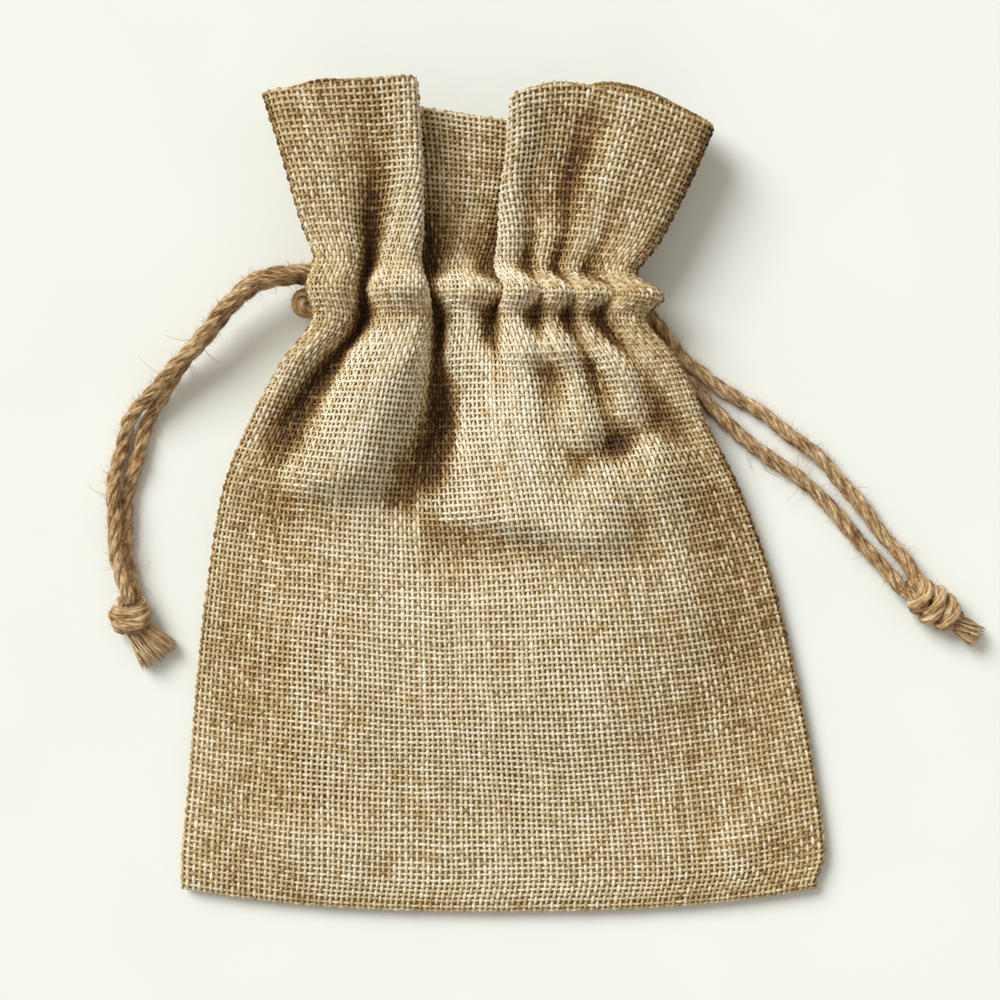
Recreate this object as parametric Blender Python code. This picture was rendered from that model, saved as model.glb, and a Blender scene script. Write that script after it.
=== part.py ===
"""A burlap drawstring sack, lying on its back with its neck drawn in.

One piece of coarse cloth is folded in half at the bottom and seamed up both sides.
Its top edge is turned in and stitched down, which makes the casing for the cords,
and the cloth past the casing stands as a ruffled flare. Two jute drawcords leave the
casing, one at each end, as two strands each that are tied in an overhand knot.

X is across the sack, +Y runs from the bottom fold to the mouth, +Z is up. The sack's
back lies on the plane z = 0. Lengths in the tables are millimetres, angles degrees.
"""

import math
from collections import namedtuple

import bmesh
import bpy
import numpy as np
from mathutils import Vector

MM = 0.001
CLOTH_WIDTH = 130.0  # seam to seam, laid flat
CLOTH_THICK = 1.0
TWINE = 2.8  # diameter of one drawcord strand
FOLD_RADIUS = 1.3  # of the cloth's turn at the bottom fold
# The tables' own zero, from below the middle of the finished sack
TABLE_ZERO = Vector((-0.15, -0.06, -0.1))
# Where the rows of faces lie, as distances up the cloth from the bottom fold
BODY_ROWS = (0, 5, 12, 22, 34, 46, 57, 64, 69, 73, 77, 81, 85, 89, 93)
NECK_ROWS = (97, 101, 105, 109, 112, 115, 118, 121, 124, 127, 130, 133, 137, 143, 150, 158, 165)
# Columns of faces between one crease and the next, and out to the seams
NECK_COLUMNS = (8, 9, 10, 8, 6, 6, 8)
BODY_COLUMNS = (3, 8, 6, 5, 4, 4, 4)
BACK_COLUMNS = (4, 4, 4, 4, 4, 4)

# ---------------------------------------------------------------- the sack's tables

# A row for each cross-section, from the bottom fold up to the rim.
# along: distance up the cloth; y: place of the side seams; left, right: x of the seams;
# edge: height of the seams; turn: radius with which the cloth rounds the seam;
# crown: height of the front cloth's middle; belly: height of the back cloth's middle;
# sag: how far the row's middle hangs below its seams; slant: how far its right end does.
Section = namedtuple("Section", "along y left right edge turn crown belly sag slant")
SECTIONS = {
    "bottom fold": Section(0.0, -76.7, -63.6, 62.4, 1.9, 1.3, 3.0, 0.6, 4.6, 0.0),
    "lower corner": Section(6.0, -71.2, -63.4, 64.0, 1.9, 1.3, 4.6, 0.6, 4.6, 0.0),
    "lower body": Section(22.0, -56.2, -62.0, 62.2, 1.9, 1.3, 6.6, 0.6, 4.6, 0.0),
    "mid body": Section(45.0, -34.4, -60.2, 58.0, 1.9, 1.3, 8.6, 0.6, 4.4, 0.0),
    "belly": Section(63.0, -17.2, -58.2, 53.6, 2.2, 1.5, 9.6, 0.6, 4.2, 0.0),
    "upper body": Section(81.0, 0.5, -55.2, 47.2, 3.2, 1.9, 11.0, 0.6, 3.6, 0.0),
    "shoulder": Section(97.0, 15.0, -49.4, 39.9, 5.6, 2.4, 13.5, 0.7, 2.6, 0.0),
    "gather": Section(110.0, 26.0, -43.2, 34.8, 7.6, 3.2, 16.6, 1.0, 1.2, 0.0),
    "casing foot": Section(119.5, 35.5, -36.8, 28.0, 9.0, 4.0, 17.4, 1.0, 0.3, 0.4),
    "casing": Section(125.0, 41.0, -38.2, 31.4, 9.5, 5.0, 22.2, 0.6, 0.0, 2.2),
    "casing top": Section(131.0, 46.3, -36.6, 26.2, 9.5, 4.0, 17.8, 1.0, 0.0, 3.0),
    "flare foot": Section(138.0, 52.5, -39.0, 30.6, 9.0, 3.6, 18.5, 2.4, 0.0, 2.2),
    "flare": Section(150.0, 63.0, -42.3, 36.2, 9.5, 3.2, 20.5, 2.4, 0.0, 0.6),
    "rim": Section(165.0, 76.0, -46.8, 41.5, 10.0, 3.2, 22.0, 2.2, 0.0, 0.0),
}

# A row for each fold that runs up the cloth. at_*: distance of its middle from the
# left seam, along the cloth, at four cross-sections; width: how far its turn takes,
# along the cloth; reach: how far its flanks go on; then how steep the cloth stands at
# each cross-section.
# A crease dips and comes back; a drop leads to a lower level, and a rise leads up.
Fold = namedtuple(
    "Fold",
    "kind at_rim at_flare at_casing at_body width reach "
    "rim flare flare_foot casing_top casing casing_foot gather shoulder upper_body",
)
FRONT_FOLDS = {
    "left lobe": Fold("crease", 22, 24, 22, 12, 1.9, 10, 4, 26, 50, 74, 80, 76, 58, 36, 0),
    "left flare edge": Fold("drop", 38.2, 38.5, 50, 56, 5.4, 0, 172, 170, 120, 76, 44, 20, 6, 0, 0),
    "left panel": Fold("crease", 39, 38.5, 50, 56, 1.9, 10, 0, 0, 18, 62, 80, 86, 80, 62, 24),
    "right flare edge": Fold("rise", 82, 81, 74, 73, 5.4, 0, 172, 170, 120, 76, 44, 20, 6, 0, 0),
    "right panel": Fold("crease", 82, 81, 74, 73, 1.9, 8, 0, 0, 18, 62, 78, 78, 48, 24, 4),
    "puff a": Fold("crease", 95, 93, 90.5, 88, 2.0, 6, 10, 44, 54, 74, 78, 72, 40, 22, 2),
    "puff b": Fold("crease", 103, 102, 101, 103, 2.0, 6, 14, 30, 54, 74, 78, 78, 66, 54, 20),
    "right lobe": Fold("crease", 113, 113, 111.5, 119, 2.4, 7, 0, 4, 22, 48, 62, 66, 54, 40, 8),
}
BACK_FOLDS = {
    "back one": Fold("crease", 18, 18, 18, 18, 1.9, 6, 0, 4, 14, 32, 38, 34, 18, 6, 0),
    "back two": Fold("crease", 34, 34, 34, 34, 1.9, 6, 0, 6, 20, 48, 54, 50, 28, 8, 0),
    "back three": Fold("crease", 62, 62, 62, 62, 1.9, 6, 0, 4, 12, 34, 38, 34, 18, 6, 0),
    "back four": Fold("crease", 98, 98, 98, 98, 1.9, 6, 0, 6, 12, 32, 36, 32, 18, 6, 0),
    "back five": Fold("crease", 110, 110, 110, 110, 1.9, 6, 0, 4, 14, 32, 38, 34, 18, 6, 0),
}
FOLD_STATIONS = (
    "upper body",
    "shoulder",
    "gather",
    "casing foot",
    "casing",
    "casing top",
    "flare foot",
    "flare",
    "rim",
)

# The rim's line: how far the cloth's edge stands above or below the rim section's y.
# across: distance from the left seam along the cloth.
Rim = namedtuple("Rim", "across front back")
RIM = (
    Rim(0, 3.1, 3.1),
    Rim(18, 4.0, 6.8),
    Rim(32, 4.7, 7.2),
    Rim(44, 1.6, 1.4),
    Rim(58, -0.9, -2.6),
    Rim(72, -2.7, -3.0),
    Rim(84, -0.4, 1.6),
    Rim(90, 2.2, 4.6),
    Rim(98, 3.8, 6.5),
    Rim(112, 1.4, 4.2),
    Rim(121, -1.2, 0.8),
    Rim(130, -3.7, -3.7),
)

# The filled part of the body: a round swelling that is steepest near its edge.
# x, y: its middle; wide, tall: its half sizes; height: how far it stands up.
Swelling = namedtuple("Swelling", "x y wide tall height")
SWELLINGS = {
    "middle": Swelling(0.0, -14.0, 44.0, 40.0, 5.4),
    "right side": Swelling(22.0, -14.0, 22.0, 34.0, 1.4),
}

# Slanting wrinkles of the front cloth. Each runs from (x0, y0) to (x1, y1); left and
# right are how wide its flanks are, seen along that way; a negative height is a trough.
Wrinkle = namedtuple("Wrinkle", "x0 y0 x1 y1 height left right")
WRINKLES = {
    "left ridge": Wrinkle(-23.0, 28.0, -35.0, 4.0, 6.0, 14.0, 7.0),
    "left shadow": Wrinkle(-34.0, 25.0, -47.0, 12.0, -2.6, 4.0, 5.0),
    "left shelf": Wrinkle(-46.0, 4.5, -26.0, 3.5, 4.4, 7.0, 3.6),
    "left ditch": Wrinkle(-8.0, 21.0, -20.0, 1.0, -5.6, 5.0, 8.0),
    "centre ridge": Wrinkle(-1.0, 26.0, -7.0, 0.0, 4.0, 16.0, 5.0),
    "centre shelf": Wrinkle(-10.0, -2.0, 18.0, -7.0, 4.4, 12.0, 3.8),
    "low puffs": Wrinkle(2.0, 31.0, 16.0, 30.0, 3.0, 5.0, 3.6),
    "hollow": Wrinkle(5.0, 23.0, 16.0, 23.0, -2.4, 4.0, 7.0),
    "right puff": Wrinkle(22.0, 27.0, 33.0, 20.0, 3.6, 6.0, 4.0),
    "right band": Wrinkle(15.0, 7.0, 37.0, 17.0, -4.4, 4.0, 3.6),
    "right sling": Wrinkle(20.0, -2.0, 40.0, 10.0, 2.2, 6.0, 8.0),
    "left sling": Wrinkle(-50.0, -14.0, -34.0, -50.0, 1.2, 10.0, 10.0),
    "low left": Wrinkle(-56.0, -64.0, -30.0, -72.0, 1.4, 6.0, 6.0),
    "low right": Wrinkle(46.0, -72.0, 57.0, -58.0, 1.8, 5.0, 5.0),
}

# ---------------------------------------------------------------- the sack's surface


def placed(point):
    """A point of the tables, in metres, where it stands in the finished sack."""
    return (Vector(point) + TABLE_ZERO) * MM


def smooth_through(stations, values, at):
    """A curve through the values that makes no waves of its own between them."""
    stations = np.asarray(stations, float)
    values = np.asarray(values, float)
    slopes = np.diff(values) / np.diff(stations)
    tangents = np.zeros_like(values)
    tangents[0], tangents[-1] = slopes[0], slopes[-1]
    for i in range(1, len(values) - 1):
        before, after = slopes[i - 1], slopes[i]
        if before * after > 0:
            tangents[i] = 2 * before * after / (before + after)
    at = np.clip(at, stations[0], stations[-1])
    i = np.clip(np.searchsorted(stations, at) - 1, 0, len(stations) - 2)
    span = stations[i + 1] - stations[i]
    t = (at - stations[i]) / span
    return (
        (2 * t**3 - 3 * t**2 + 1) * values[i]
        + (t**3 - 2 * t**2 + t) * span * tangents[i]
        + (3 * t**2 - 2 * t**3) * values[i + 1]
        + (t**3 - t**2) * span * tangents[i + 1]
    )


def section_at(along):
    rows = list(SECTIONS.values())
    alongs = [row.along for row in rows]
    return Section(*(
        smooth_through(alongs, [getattr(row, field) for row in rows], along)
        for field in Section._fields
    ))


def fold_at(fold, along):
    """The fold's middle and its steepness in radians, at this distance up the cloth."""
    stations = [SECTIONS[name].along for name in FOLD_STATIONS]
    places = [SECTIONS[name].along for name in ("shoulder", "casing", "flare", "rim")]
    middles = [fold.at_body, fold.at_casing, fold.at_flare, fold.at_rim]
    middle = smooth_through(places, middles, along)
    steepness = fold[: fold._fields.index("rim") - 1 : -1]
    below = SECTIONS["belly"].along
    degrees = smooth_through([below, *stations], [0.0, *steepness], along)
    return middle, math.radians(degrees)


def slope_along_row(folds, along, turn):
    """The cloth's angle at every step from the left seam to the right one."""
    # Folds are sharpest where the casing is drawn in, and open out away from it.
    foot, top = SECTIONS["casing foot"].along, SECTIONS["casing top"].along
    opening = 1 + max(0.0, foot - along) / 25 + max(0.0, along - top) / 25
    across = np.linspace(0.0, CLOTH_WIDTH, 1301)
    quarter = math.pi / 2 * turn
    angle = math.pi / 2 * np.clip(1 - across / quarter, 0, 1)
    angle -= math.pi / 2 * np.clip(1 - (CLOTH_WIDTH - across) / quarter, 0, 1)
    for fold in folds.values():
        middle, steep = fold_at(fold, along)
        t = (across - middle) / fold.width
        if fold.kind == "crease":
            flank = (across - middle) / (fold.reach * (0.6 + 0.4 * opening))
            angle += steep * np.tanh(t / opening) * np.exp(-(flank**2))
        else:
            sign = -1 if fold.kind == "drop" else 1
            angle += sign * steep * np.exp(-np.abs(t) ** 2.6)
    return across, angle


def wrinkle_height(x, y):
    height = np.zeros_like(x)
    for w in WRINKLES.values():
        length = math.hypot(w.x1 - w.x0, w.y1 - w.y0)
        ux, uy = (w.x1 - w.x0) / length, (w.y1 - w.y0) / length
        ahead = ((x - w.x0) * ux + (y - w.y0) * uy) / length
        aside = (y - w.y0) * ux - (x - w.x0) * uy
        flank = np.where(aside > 0, w.left, w.right)
        beyond = np.maximum(0, np.abs(ahead - 0.5) - 0.5) * length
        ends = np.exp(-((beyond / (0.35 * (w.left + w.right))) ** 2))
        fade = 0.6 + 0.4 * np.cos(math.pi * np.clip(ahead - 0.5, -0.5, 0.5))
        height += w.height * fade * ends * np.exp(-((aside / flank) ** 2))
    for w in SWELLINGS.values():
        reach = ((x - w.x) / w.wide) ** 2 + ((y - w.y) / w.tall) ** 2
        height += w.height * np.exp(-(reach**2))
    return height


def cloth_row(along, across, is_front):
    """Points of the cloth's middle surface, at these distances from the left seam."""
    s = section_at(along)
    folds = FRONT_FOLDS if is_front else BACK_FOLDS
    steps, angle = slope_along_row(folds, along, s.turn)
    step = steps[1] - steps[0]
    run = np.cos(angle)
    rise = np.sin(angle)
    x = np.concatenate([[0.0], np.cumsum((run[1:] + run[:-1]) / 2 * step)])
    z = np.concatenate([[0.0], np.cumsum((rise[1:] + rise[:-1]) / 2 * step)])
    x = s.left + x * (s.right - s.left) / x[-1]
    z -= z[-1] * steps / CLOTH_WIDTH
    x, z = np.interp(across, steps, x), np.interp(across, steps, z)
    place = (2 * x - s.left - s.right) / (s.right - s.left)
    bulge = 1 - np.abs(np.clip(place, -1, 1)) ** 2.3
    hang = s.sag * (1 - np.abs(np.clip(place, -1, 1)) ** 2.5)
    rim_line = [row.front if is_front else row.back for row in RIM]
    lift = smooth_through([row.across for row in RIM], rim_line, across)
    start, top = SECTIONS["casing top"].along, SECTIONS["rim"].along
    y = s.y - hang - s.slant * (place + 1) / 2
    y += lift * max(0.0, (along - start) / (top - start))
    if is_front:
        z = s.edge + z + (s.crown - s.edge - s.turn) * bulge
        inside = np.clip(3 * (1 - np.abs(place)), 0, 1)
        foot = SECTIONS["casing foot"].along
        z = z + wrinkle_height(x, y) * inside * np.clip((foot - along) / 7, 0, 1)
    else:
        z = s.edge - z - (s.edge - s.turn - s.belly) * bulge
    return np.stack([x, y, z], axis=1)


def cloth_wall(along, across, is_front, offset):
    """Points this far outside the cloth's middle surface, along its own normals."""
    nudge = 0.05
    here = cloth_row(along, across, is_front)
    inward = np.where(across > CLOTH_WIDTH / 2, -nudge, nudge)
    beside = cloth_row(along, across + inward, is_front) - here
    beside *= np.sign(inward)[:, None]
    low = max(along - nudge, 0.0)
    up = cloth_row(low + nudge, across, is_front) - cloth_row(low, across, is_front)
    normals = np.cross(beside, up)
    if not is_front:
        normals = -normals
    # At a seam the front and the back share one normal, square to the seam line.
    for end, side in ((0, -1), (-1, 1)):
        normals[end] = (side * up[end, 1], -side * up[end, 0], 0.0)
    return here, normals / np.linalg.norm(normals, axis=1, keepdims=True) * offset


def fold_wall(degrees, across, is_front, offset):
    """A row of the round turn in which the front cloth becomes the back cloth."""
    turn = math.radians(degrees)
    here, out = cloth_wall(0.0, across, is_front, 1.0)
    other = cloth_row(0.0, across, not is_front)
    middle = (here + other) / 2
    place = middle + (here - middle) * math.cos(turn)
    place[:, 1] = here[:, 1] - FOLD_RADIUS * math.sin(turn)
    out = out * math.cos(turn) + np.array([0.0, -1.0, 0.0]) * math.sin(turn)
    return place, out / np.linalg.norm(out, axis=1, keepdims=True) * offset


def columns_at(folds, along, counts):
    """Distances across the cloth that keep close together at every fold."""
    creases = [fold_at(f, along)[0] for f in folds.values() if f.kind == "crease"]
    stations = [0.0, *creases, CLOTH_WIDTH]
    across = []
    for a, b, count in zip(stations, stations[1:], counts):
        t = np.arange(count) / count
        crowded = t - 0.6 * np.sin(2 * math.pi * t) / (2 * math.pi)
        across.extend(a + (b - a) * crowded)
    return np.array([*across, CLOTH_WIDTH])


def sack_rows(offset):
    """Rows of one wall, down the front from the rim, round the fold and up the back."""
    def at(row, is_front):
        """Front rows in the neck need more columns than the plain body's."""
        if not is_front:
            return columns_at(BACK_FOLDS, row, BACK_COLUMNS)
        return columns_at(FRONT_FOLDS, row, NECK_COLUMNS if row in NECK_ROWS else BODY_COLUMNS)

    upward = [*BODY_ROWS, *NECK_ROWS]
    front = [cloth_wall(r, at(r, True), True, offset) for r in reversed(upward)]
    turned = [fold_wall(d, at(0.0, True), True, offset) for d in (30, 60, 90)]
    under = [fold_wall(d, at(0.0, False), False, offset) for d in (60, 30)]
    rear = [cloth_wall(r, at(r, False), False, offset) for r in upward]
    return [place + out for place, out in (*front, *turned, *under, *rear)]


def zip_rows(build, one, two, outward):
    """Triangles between two rows of vertices, which may differ in number."""
    i = j = 0
    while i < len(one) - 1 or j < len(two) - 1:
        next_one = (i + 1) / (len(one) - 1)
        next_two = (j + 1) / (len(two) - 1)
        if j == len(two) - 1 or (i < len(one) - 1 and next_one <= next_two):
            corners = [one[i], one[i + 1], two[j]]
            i += 1
        else:
            corners = [one[i], two[j + 1], two[j]]
            j += 1
        build.faces.new(corners if outward else corners[::-1])


def sack_mesh(thick):
    """The hollow sack: an outer and an inner wall, joined round the rim."""
    build = bmesh.new()
    rims = []
    for side in (1, -1):
        rows = sack_rows(side * thick / 2)
        verts = [[build.verts.new(placed(p)) for p in row] for row in rows]
        for one, two in zip(verts, verts[1:]):
            zip_rows(build, one, two, side < 0)
        rims.append((verts[0], verts[-1]))
    (front_out, back_out), (front_in, back_in) = rims
    zip_rows(build, front_out, front_in, True)
    zip_rows(build, back_out, back_in, False)
    bmesh.ops.remove_doubles(build, verts=build.verts, dist=0.002 * MM)
    mesh = bpy.data.meshes.new("bag_cloth")
    build.to_mesh(mesh)
    build.free()
    return mesh


# ---------------------------------------------------------------- scene and materials


def clear_scene():
    for obj in list(bpy.data.objects):
        bpy.data.objects.remove(obj, do_unlink=True)


def plain_material(name, colour, roughness):
    material = bpy.data.materials.new(name)
    material.use_nodes = True
    shader = material.node_tree.nodes["Principled BSDF"]
    shader.inputs["Base Color"].default_value = (*colour, 1.0)
    shader.inputs["Roughness"].default_value = roughness
    shader.inputs["Metallic"].default_value = 0.0
    return material


def add_object(name, data, material):
    obj = bpy.data.objects.new(name, data)
    data.materials.append(material)
    bpy.context.scene.collection.objects.link(obj)
    return obj


# ---------------------------------------------------------------- the bag


def make_bag(material):
    mesh = sack_mesh(CLOTH_THICK)
    mesh.shade_smooth()
    return add_object("bag_cloth", mesh, material)


# ---------------------------------------------------------------- the drawcords


def smooth_route(points, spacing):
    """Points a spacing apart on a smooth curve through the route's points."""
    route = [Vector(p) for p in points]
    route = [2 * route[0] - route[1], *route, 2 * route[-1] - route[-2]]
    dense = []
    for p0, p1, p2, p3 in zip(route, route[1:], route[2:], route[3:]):
        for step in range(24):
            t = step / 24
            dense.append(
                0.5 * (
                    2 * p1
                    + (p2 - p0) * t
                    + (2 * p0 - 5 * p1 + 4 * p2 - p3) * t**2
                    + (3 * p1 - p0 - 3 * p2 + p3) * t**3
                )
            )
    dense.append(route[-2])
    lengths = np.cumsum([0.0, *((b - a).length for a, b in zip(dense, dense[1:]))])
    count = max(2, round(lengths[-1] / spacing))
    at = np.linspace(0, lengths[-1], count + 1)
    columns = np.array([tuple(p) for p in dense]).T
    return np.stack([np.interp(at, lengths, axis) for axis in columns], axis=1)


# Each route starts at the casing and ends at the knot.
ROUTES = {
    "left_strand_outer": (
        (-38.7, 44.2, 10.2),
        (-41.5, 43.9, 10.8),
        (-44.8, 43.2, 11.1),
        (-49.5, 41.5, 10.9),
        (-53.8, 37.6, 10.2),
        (-57.6, 33.0, 9.2),
        (-61.7, 28.5, 7.9),
        (-65.8, 24.1, 6.5),
        (-70.4, 19.3, 4.8),
        (-72.8, 16.6, 3.6),
        (-74.6, 13.6, 2.4),
        (-75.9, 9.4, 1.8),
        (-76.8, 5.0, 2.3),
        (-77.2, 0.4, 3.6),
        (-77.0, -4.2, 4.2),
        (-76.7, -8.6, 4.3),
        (-76.3, -13.4, 4.4),
        (-75.2, -16.9, 4.7),
        (-74.0, -19.5, 5.1),
    ),
    "left_strand_inner": (
        (-39.1, 42.7, 7.0),
        (-42.6, 42.6, 7.6),
        (-46.0, 42.1, 7.8),
        (-49.3, 40.8, 7.6),
        (-53.4, 37.1, 6.9),
        (-57.5, 32.6, 5.9),
        (-61.4, 28.2, 4.6),
        (-65.2, 23.6, 3.2),
        (-67.4, 20.2, 2.5),
        (-69.3, 17.0, 2.0),
        (-70.9, 13.7, 1.7),
        (-72.0, 10.2, 1.6),
        (-72.9, 6.6, 1.6),
        (-73.8, 3.2, 1.6),
        (-74.8, -0.6, 1.6),
        (-75.0, -4.4, 1.6),
        (-75.0, -8.4, 1.6),
        (-74.8, -12.8, 1.6),
        (-74.0, -16.6, 1.7),
        (-73.4, -19.6, 1.9),
    ),
    "right_strand_upper": (
        (29.0, 36.2, 2.6),
        (32.6, 31.6, 2.0),
        (36.6, 27.0, 1.7),
        (41.6, 22.6, 1.7),
        (47.0, 19.4, 1.6),
        (53.0, 15.4, 1.6),
        (59.4, 10.6, 1.6),
        (65.4, 5.4, 1.6),
        (70.4, -0.8, 1.6),
        (75.2, -6.8, 1.7),
        (79.4, -12.0, 2.1),
        (81.9, -15.6, 2.8),
    ),
    "right_strand_lower": (
        (32.0, 27.4, 1.7),
        (35.4, 24.0, 1.7),
        (39.2, 20.6, 1.6),
        (43.4, 16.0, 1.6),
        (48.6, 11.0, 1.6),
        (54.6, 6.6, 1.6),
        (60.8, 2.2, 1.6),
        (66.2, -3.2, 1.6),
        (71.0, -8.9, 1.7),
        (75.4, -13.8, 2.1),
        (78.6, -17.4, 2.8),
    ),
}
BIGHT_ROUTE = (
    (-38.3, 40.3, 5.4),
    (-39.4, 39.8, 5.4),
    (-40.1, 38.5, 5.3),
    (-40.0, 37.0, 5.2),
    (-39.0, 36.1, 5.1),
    (-37.8, 36.0, 5.1),
)


def add_cord(name, points, spacing, material):
    curve = bpy.data.curves.new(name, "CURVE")
    curve.dimensions = "3D"
    curve.bevel_depth = TWINE / 2 * MM
    curve.bevel_resolution = 2
    curve.use_fill_caps = True
    route = smooth_route(points, spacing)
    spline = curve.splines.new("POLY")
    spline.points.add(len(route) - 1)
    for point, place in zip(spline.points, route):
        point.co = (*placed(place), 1.0)
    return add_object(name, curve, material)


# A knot is a lump with the twine's turns raised round it. long, wide, tall: its size;
# angle: the way it points, from +X; lean: how far the turns slant round it.
Knot = namedtuple("Knot", "x y long wide tall angle turns lean")
KNOTS = {
    "left_knot": Knot(-73.9, -23.8, 7.0, 8.2, 6.4, -86.0, 2.0, 0.9),
    "right_knot": Knot(85.5, -21.6, 12.4, 7.8, 6.6, -37.0, 3.0, 1.0),
}


def add_knot(name, knot, material):
    """A closed lump of stacked rings about the knot's own long axis."""
    rings, sides = 15, 18
    build = bmesh.new()
    turn = math.radians(knot.angle)
    place = Vector((knot.x, knot.y, knot.tall / 2 + 0.2))

    def point(t, around):
        swell = math.sin(math.pi * t) ** 0.55
        phase = 2 * math.pi * knot.turns * t + knot.lean * math.sin(around)
        swell *= 1 + 0.09 * math.cos(phase)
        along = (t - 0.5) * knot.long
        side = knot.wide / 2 * swell * math.cos(around) / 1.09
        height = knot.tall / 2 * swell * math.sin(around) / 1.09
        flat = Vector((
            along * math.cos(turn) - side * math.sin(turn),
            along * math.sin(turn) + side * math.cos(turn),
            height,
        ))
        return placed(place + flat)

    grid = []
    for i in range(1, rings):
        ring = [point(i / rings, 2 * math.pi * k / sides) for k in range(sides)]
        grid.append([build.verts.new(p) for p in ring])
    start = build.verts.new(point(0, 0))
    end = build.verts.new(point(1, 0))
    for k in range(sides):
        m = (k + 1) % sides
        build.faces.new([start, grid[0][m], grid[0][k]])
        build.faces.new([end, grid[-1][k], grid[-1][m]])
        for low, high in zip(grid, grid[1:]):
            build.faces.new([low[k], low[m], high[m], high[k]])
    mesh = bpy.data.meshes.new(name)
    build.to_mesh(mesh)
    build.free()
    mesh.shade_smooth()
    return add_object(name, mesh, material)


# A frayed end: a strand that spreads from the knot to its cut tip.
Tail = namedtuple("Tail", "x0 y0 z0 x1 y1 z1 root tip")
TAILS = {
    "left_tail_lower": Tail(-72.7, -27.9, 2.2, -69.8, -34.1, 2.3, 1.7, 2.2),
    "left_tail_upper": Tail(-69.5, -26.4, 2.2, -65.4, -31.0, 2.1, 1.5, 1.9),
    "right_tail": Tail(91.2, -25.8, 2.7, 95.0, -28.5, 2.6, 1.9, 2.5),
}


def add_tail(name, tail, material):
    """A closed tapered plug of five rings between two flat ends."""
    start = Vector((tail.x0, tail.y0, tail.z0))
    run = Vector((tail.x1, tail.y1, tail.z1)) - start
    side = run.cross(Vector((0, 0, 1))).normalized()
    up = side.cross(run).normalized()
    sides = 10
    build = bmesh.new()
    rings = []
    for t in (0.0, 0.3, 0.6, 0.85, 1.0):
        radius = tail.root + (tail.tip - tail.root) * t * (2 - t)
        radius *= 1.0 if t < 1 else 0.86
        ring = []
        for k in range(sides):
            around = 2 * math.pi * k / sides
            ridge = radius * (1 + 0.06 * math.cos(5 * around))
            offset = side * math.cos(around) + up * 0.9 * math.sin(around)
            ring.append(build.verts.new(placed(start + run * t + offset * ridge)))
        rings.append(ring)
    for low, high in zip(rings, rings[1:]):
        for k in range(sides):
            m = (k + 1) % sides
            build.faces.new([low[k], high[k], high[m], low[m]])
    build.faces.new(rings[0])
    build.faces.new(rings[-1][::-1])
    bmesh.ops.recalc_face_normals(build, faces=build.faces)
    mesh = bpy.data.meshes.new(name)
    build.to_mesh(mesh)
    build.free()
    mesh.shade_smooth()
    return add_object(name, mesh, material)


# ---------------------------------------------------------------- the whole sack


def main():
    clear_scene()
    burlap = plain_material("burlap_cloth", (0.50, 0.39, 0.23), 0.95)
    jute = plain_material("jute_twine", (0.33, 0.21, 0.10), 0.95)
    make_bag(burlap)
    for name, route in ROUTES.items():
        add_cord(name, route, 2.6 * TWINE, jute)
    add_cord("cord_bight", BIGHT_ROUTE, 0.45 * TWINE, jute)
    for name, knot in KNOTS.items():
        add_knot(name, knot, jute)
    for name, tail in TAILS.items():
        add_tail(name, tail, jute)


main()
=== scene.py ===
"""A small burlap sack lying on its back, its neck drawn in by two jute cords.

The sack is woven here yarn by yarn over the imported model, and the cords are laid up
from their plies.  Lengths in the tables are millimetres, angles degrees.
"""

import math
from collections import namedtuple

import bmesh
import bpy
import numpy as np
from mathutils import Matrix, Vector


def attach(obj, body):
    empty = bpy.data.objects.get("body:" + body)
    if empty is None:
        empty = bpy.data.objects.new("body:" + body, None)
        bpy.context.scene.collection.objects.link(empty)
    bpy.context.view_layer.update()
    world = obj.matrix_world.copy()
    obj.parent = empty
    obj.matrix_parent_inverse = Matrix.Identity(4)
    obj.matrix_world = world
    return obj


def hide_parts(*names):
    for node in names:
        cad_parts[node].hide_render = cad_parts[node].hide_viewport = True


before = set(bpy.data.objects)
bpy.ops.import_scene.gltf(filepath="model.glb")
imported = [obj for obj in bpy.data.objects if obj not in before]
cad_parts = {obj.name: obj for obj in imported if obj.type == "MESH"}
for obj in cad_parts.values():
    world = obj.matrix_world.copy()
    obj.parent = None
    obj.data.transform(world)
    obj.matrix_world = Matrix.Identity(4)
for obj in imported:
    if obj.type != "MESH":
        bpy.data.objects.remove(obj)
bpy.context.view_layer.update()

# ---------------------------------------------------------------- camera
# A long lens straight above the sack, half a metre up, so that the raised parts lean
# outwards only a little, as they do in the photograph.


def in_scene(name, data):
    """A new object in the scene, made of this data."""
    thing = bpy.data.objects.new(name, data)
    bpy.context.scene.collection.objects.link(thing)
    return thing


camera = in_scene("camera", bpy.data.cameras.new("camera"))
camera.data.sensor_width = 36.0
camera.data.lens = 90.0
camera.data.clip_start = 0.01
camera.location = (-0.00055, -0.00098, 0.5)  # metres
bpy.context.scene.camera = camera

# ---------------------------------------------------------------- jute twine
# The drawcords are three-ply jute twine: coarse brown bast fibre spun into plies that
# are twisted together.  Fine fibres stand off it all round, which blurs its edge.

MM = 0.001
TWINE = 2.8  # diameter of one strand
LAY = 12.0  # length in which a ply goes once round
PLY_RADIUS = 0.285  # as a share of the twine's diameter
PLY_OFFSET = 0.245  # of a ply's middle from the twine's, as such a share too
PLY_SIDES = 8
FIBRE_RADIUS = 0.022  # of a loose fibre at its root, as a share of its length
FIBRE_TIP = 0.15  # its tip's radius, as a share of its root's
WELD = 0.004 * MM  # points nearer than this are made one


def linear(colour):
    """An sRGB hex colour as the linear red, green, blue and alpha of a socket."""
    parts = [int(colour[i : i + 2], 16) / 255 for i in (1, 3, 5)]
    return (*(c / 12.92 if c < 0.04 else ((c + 0.055) / 1.055) ** 2.4 for c in parts), 1.0)


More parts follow.
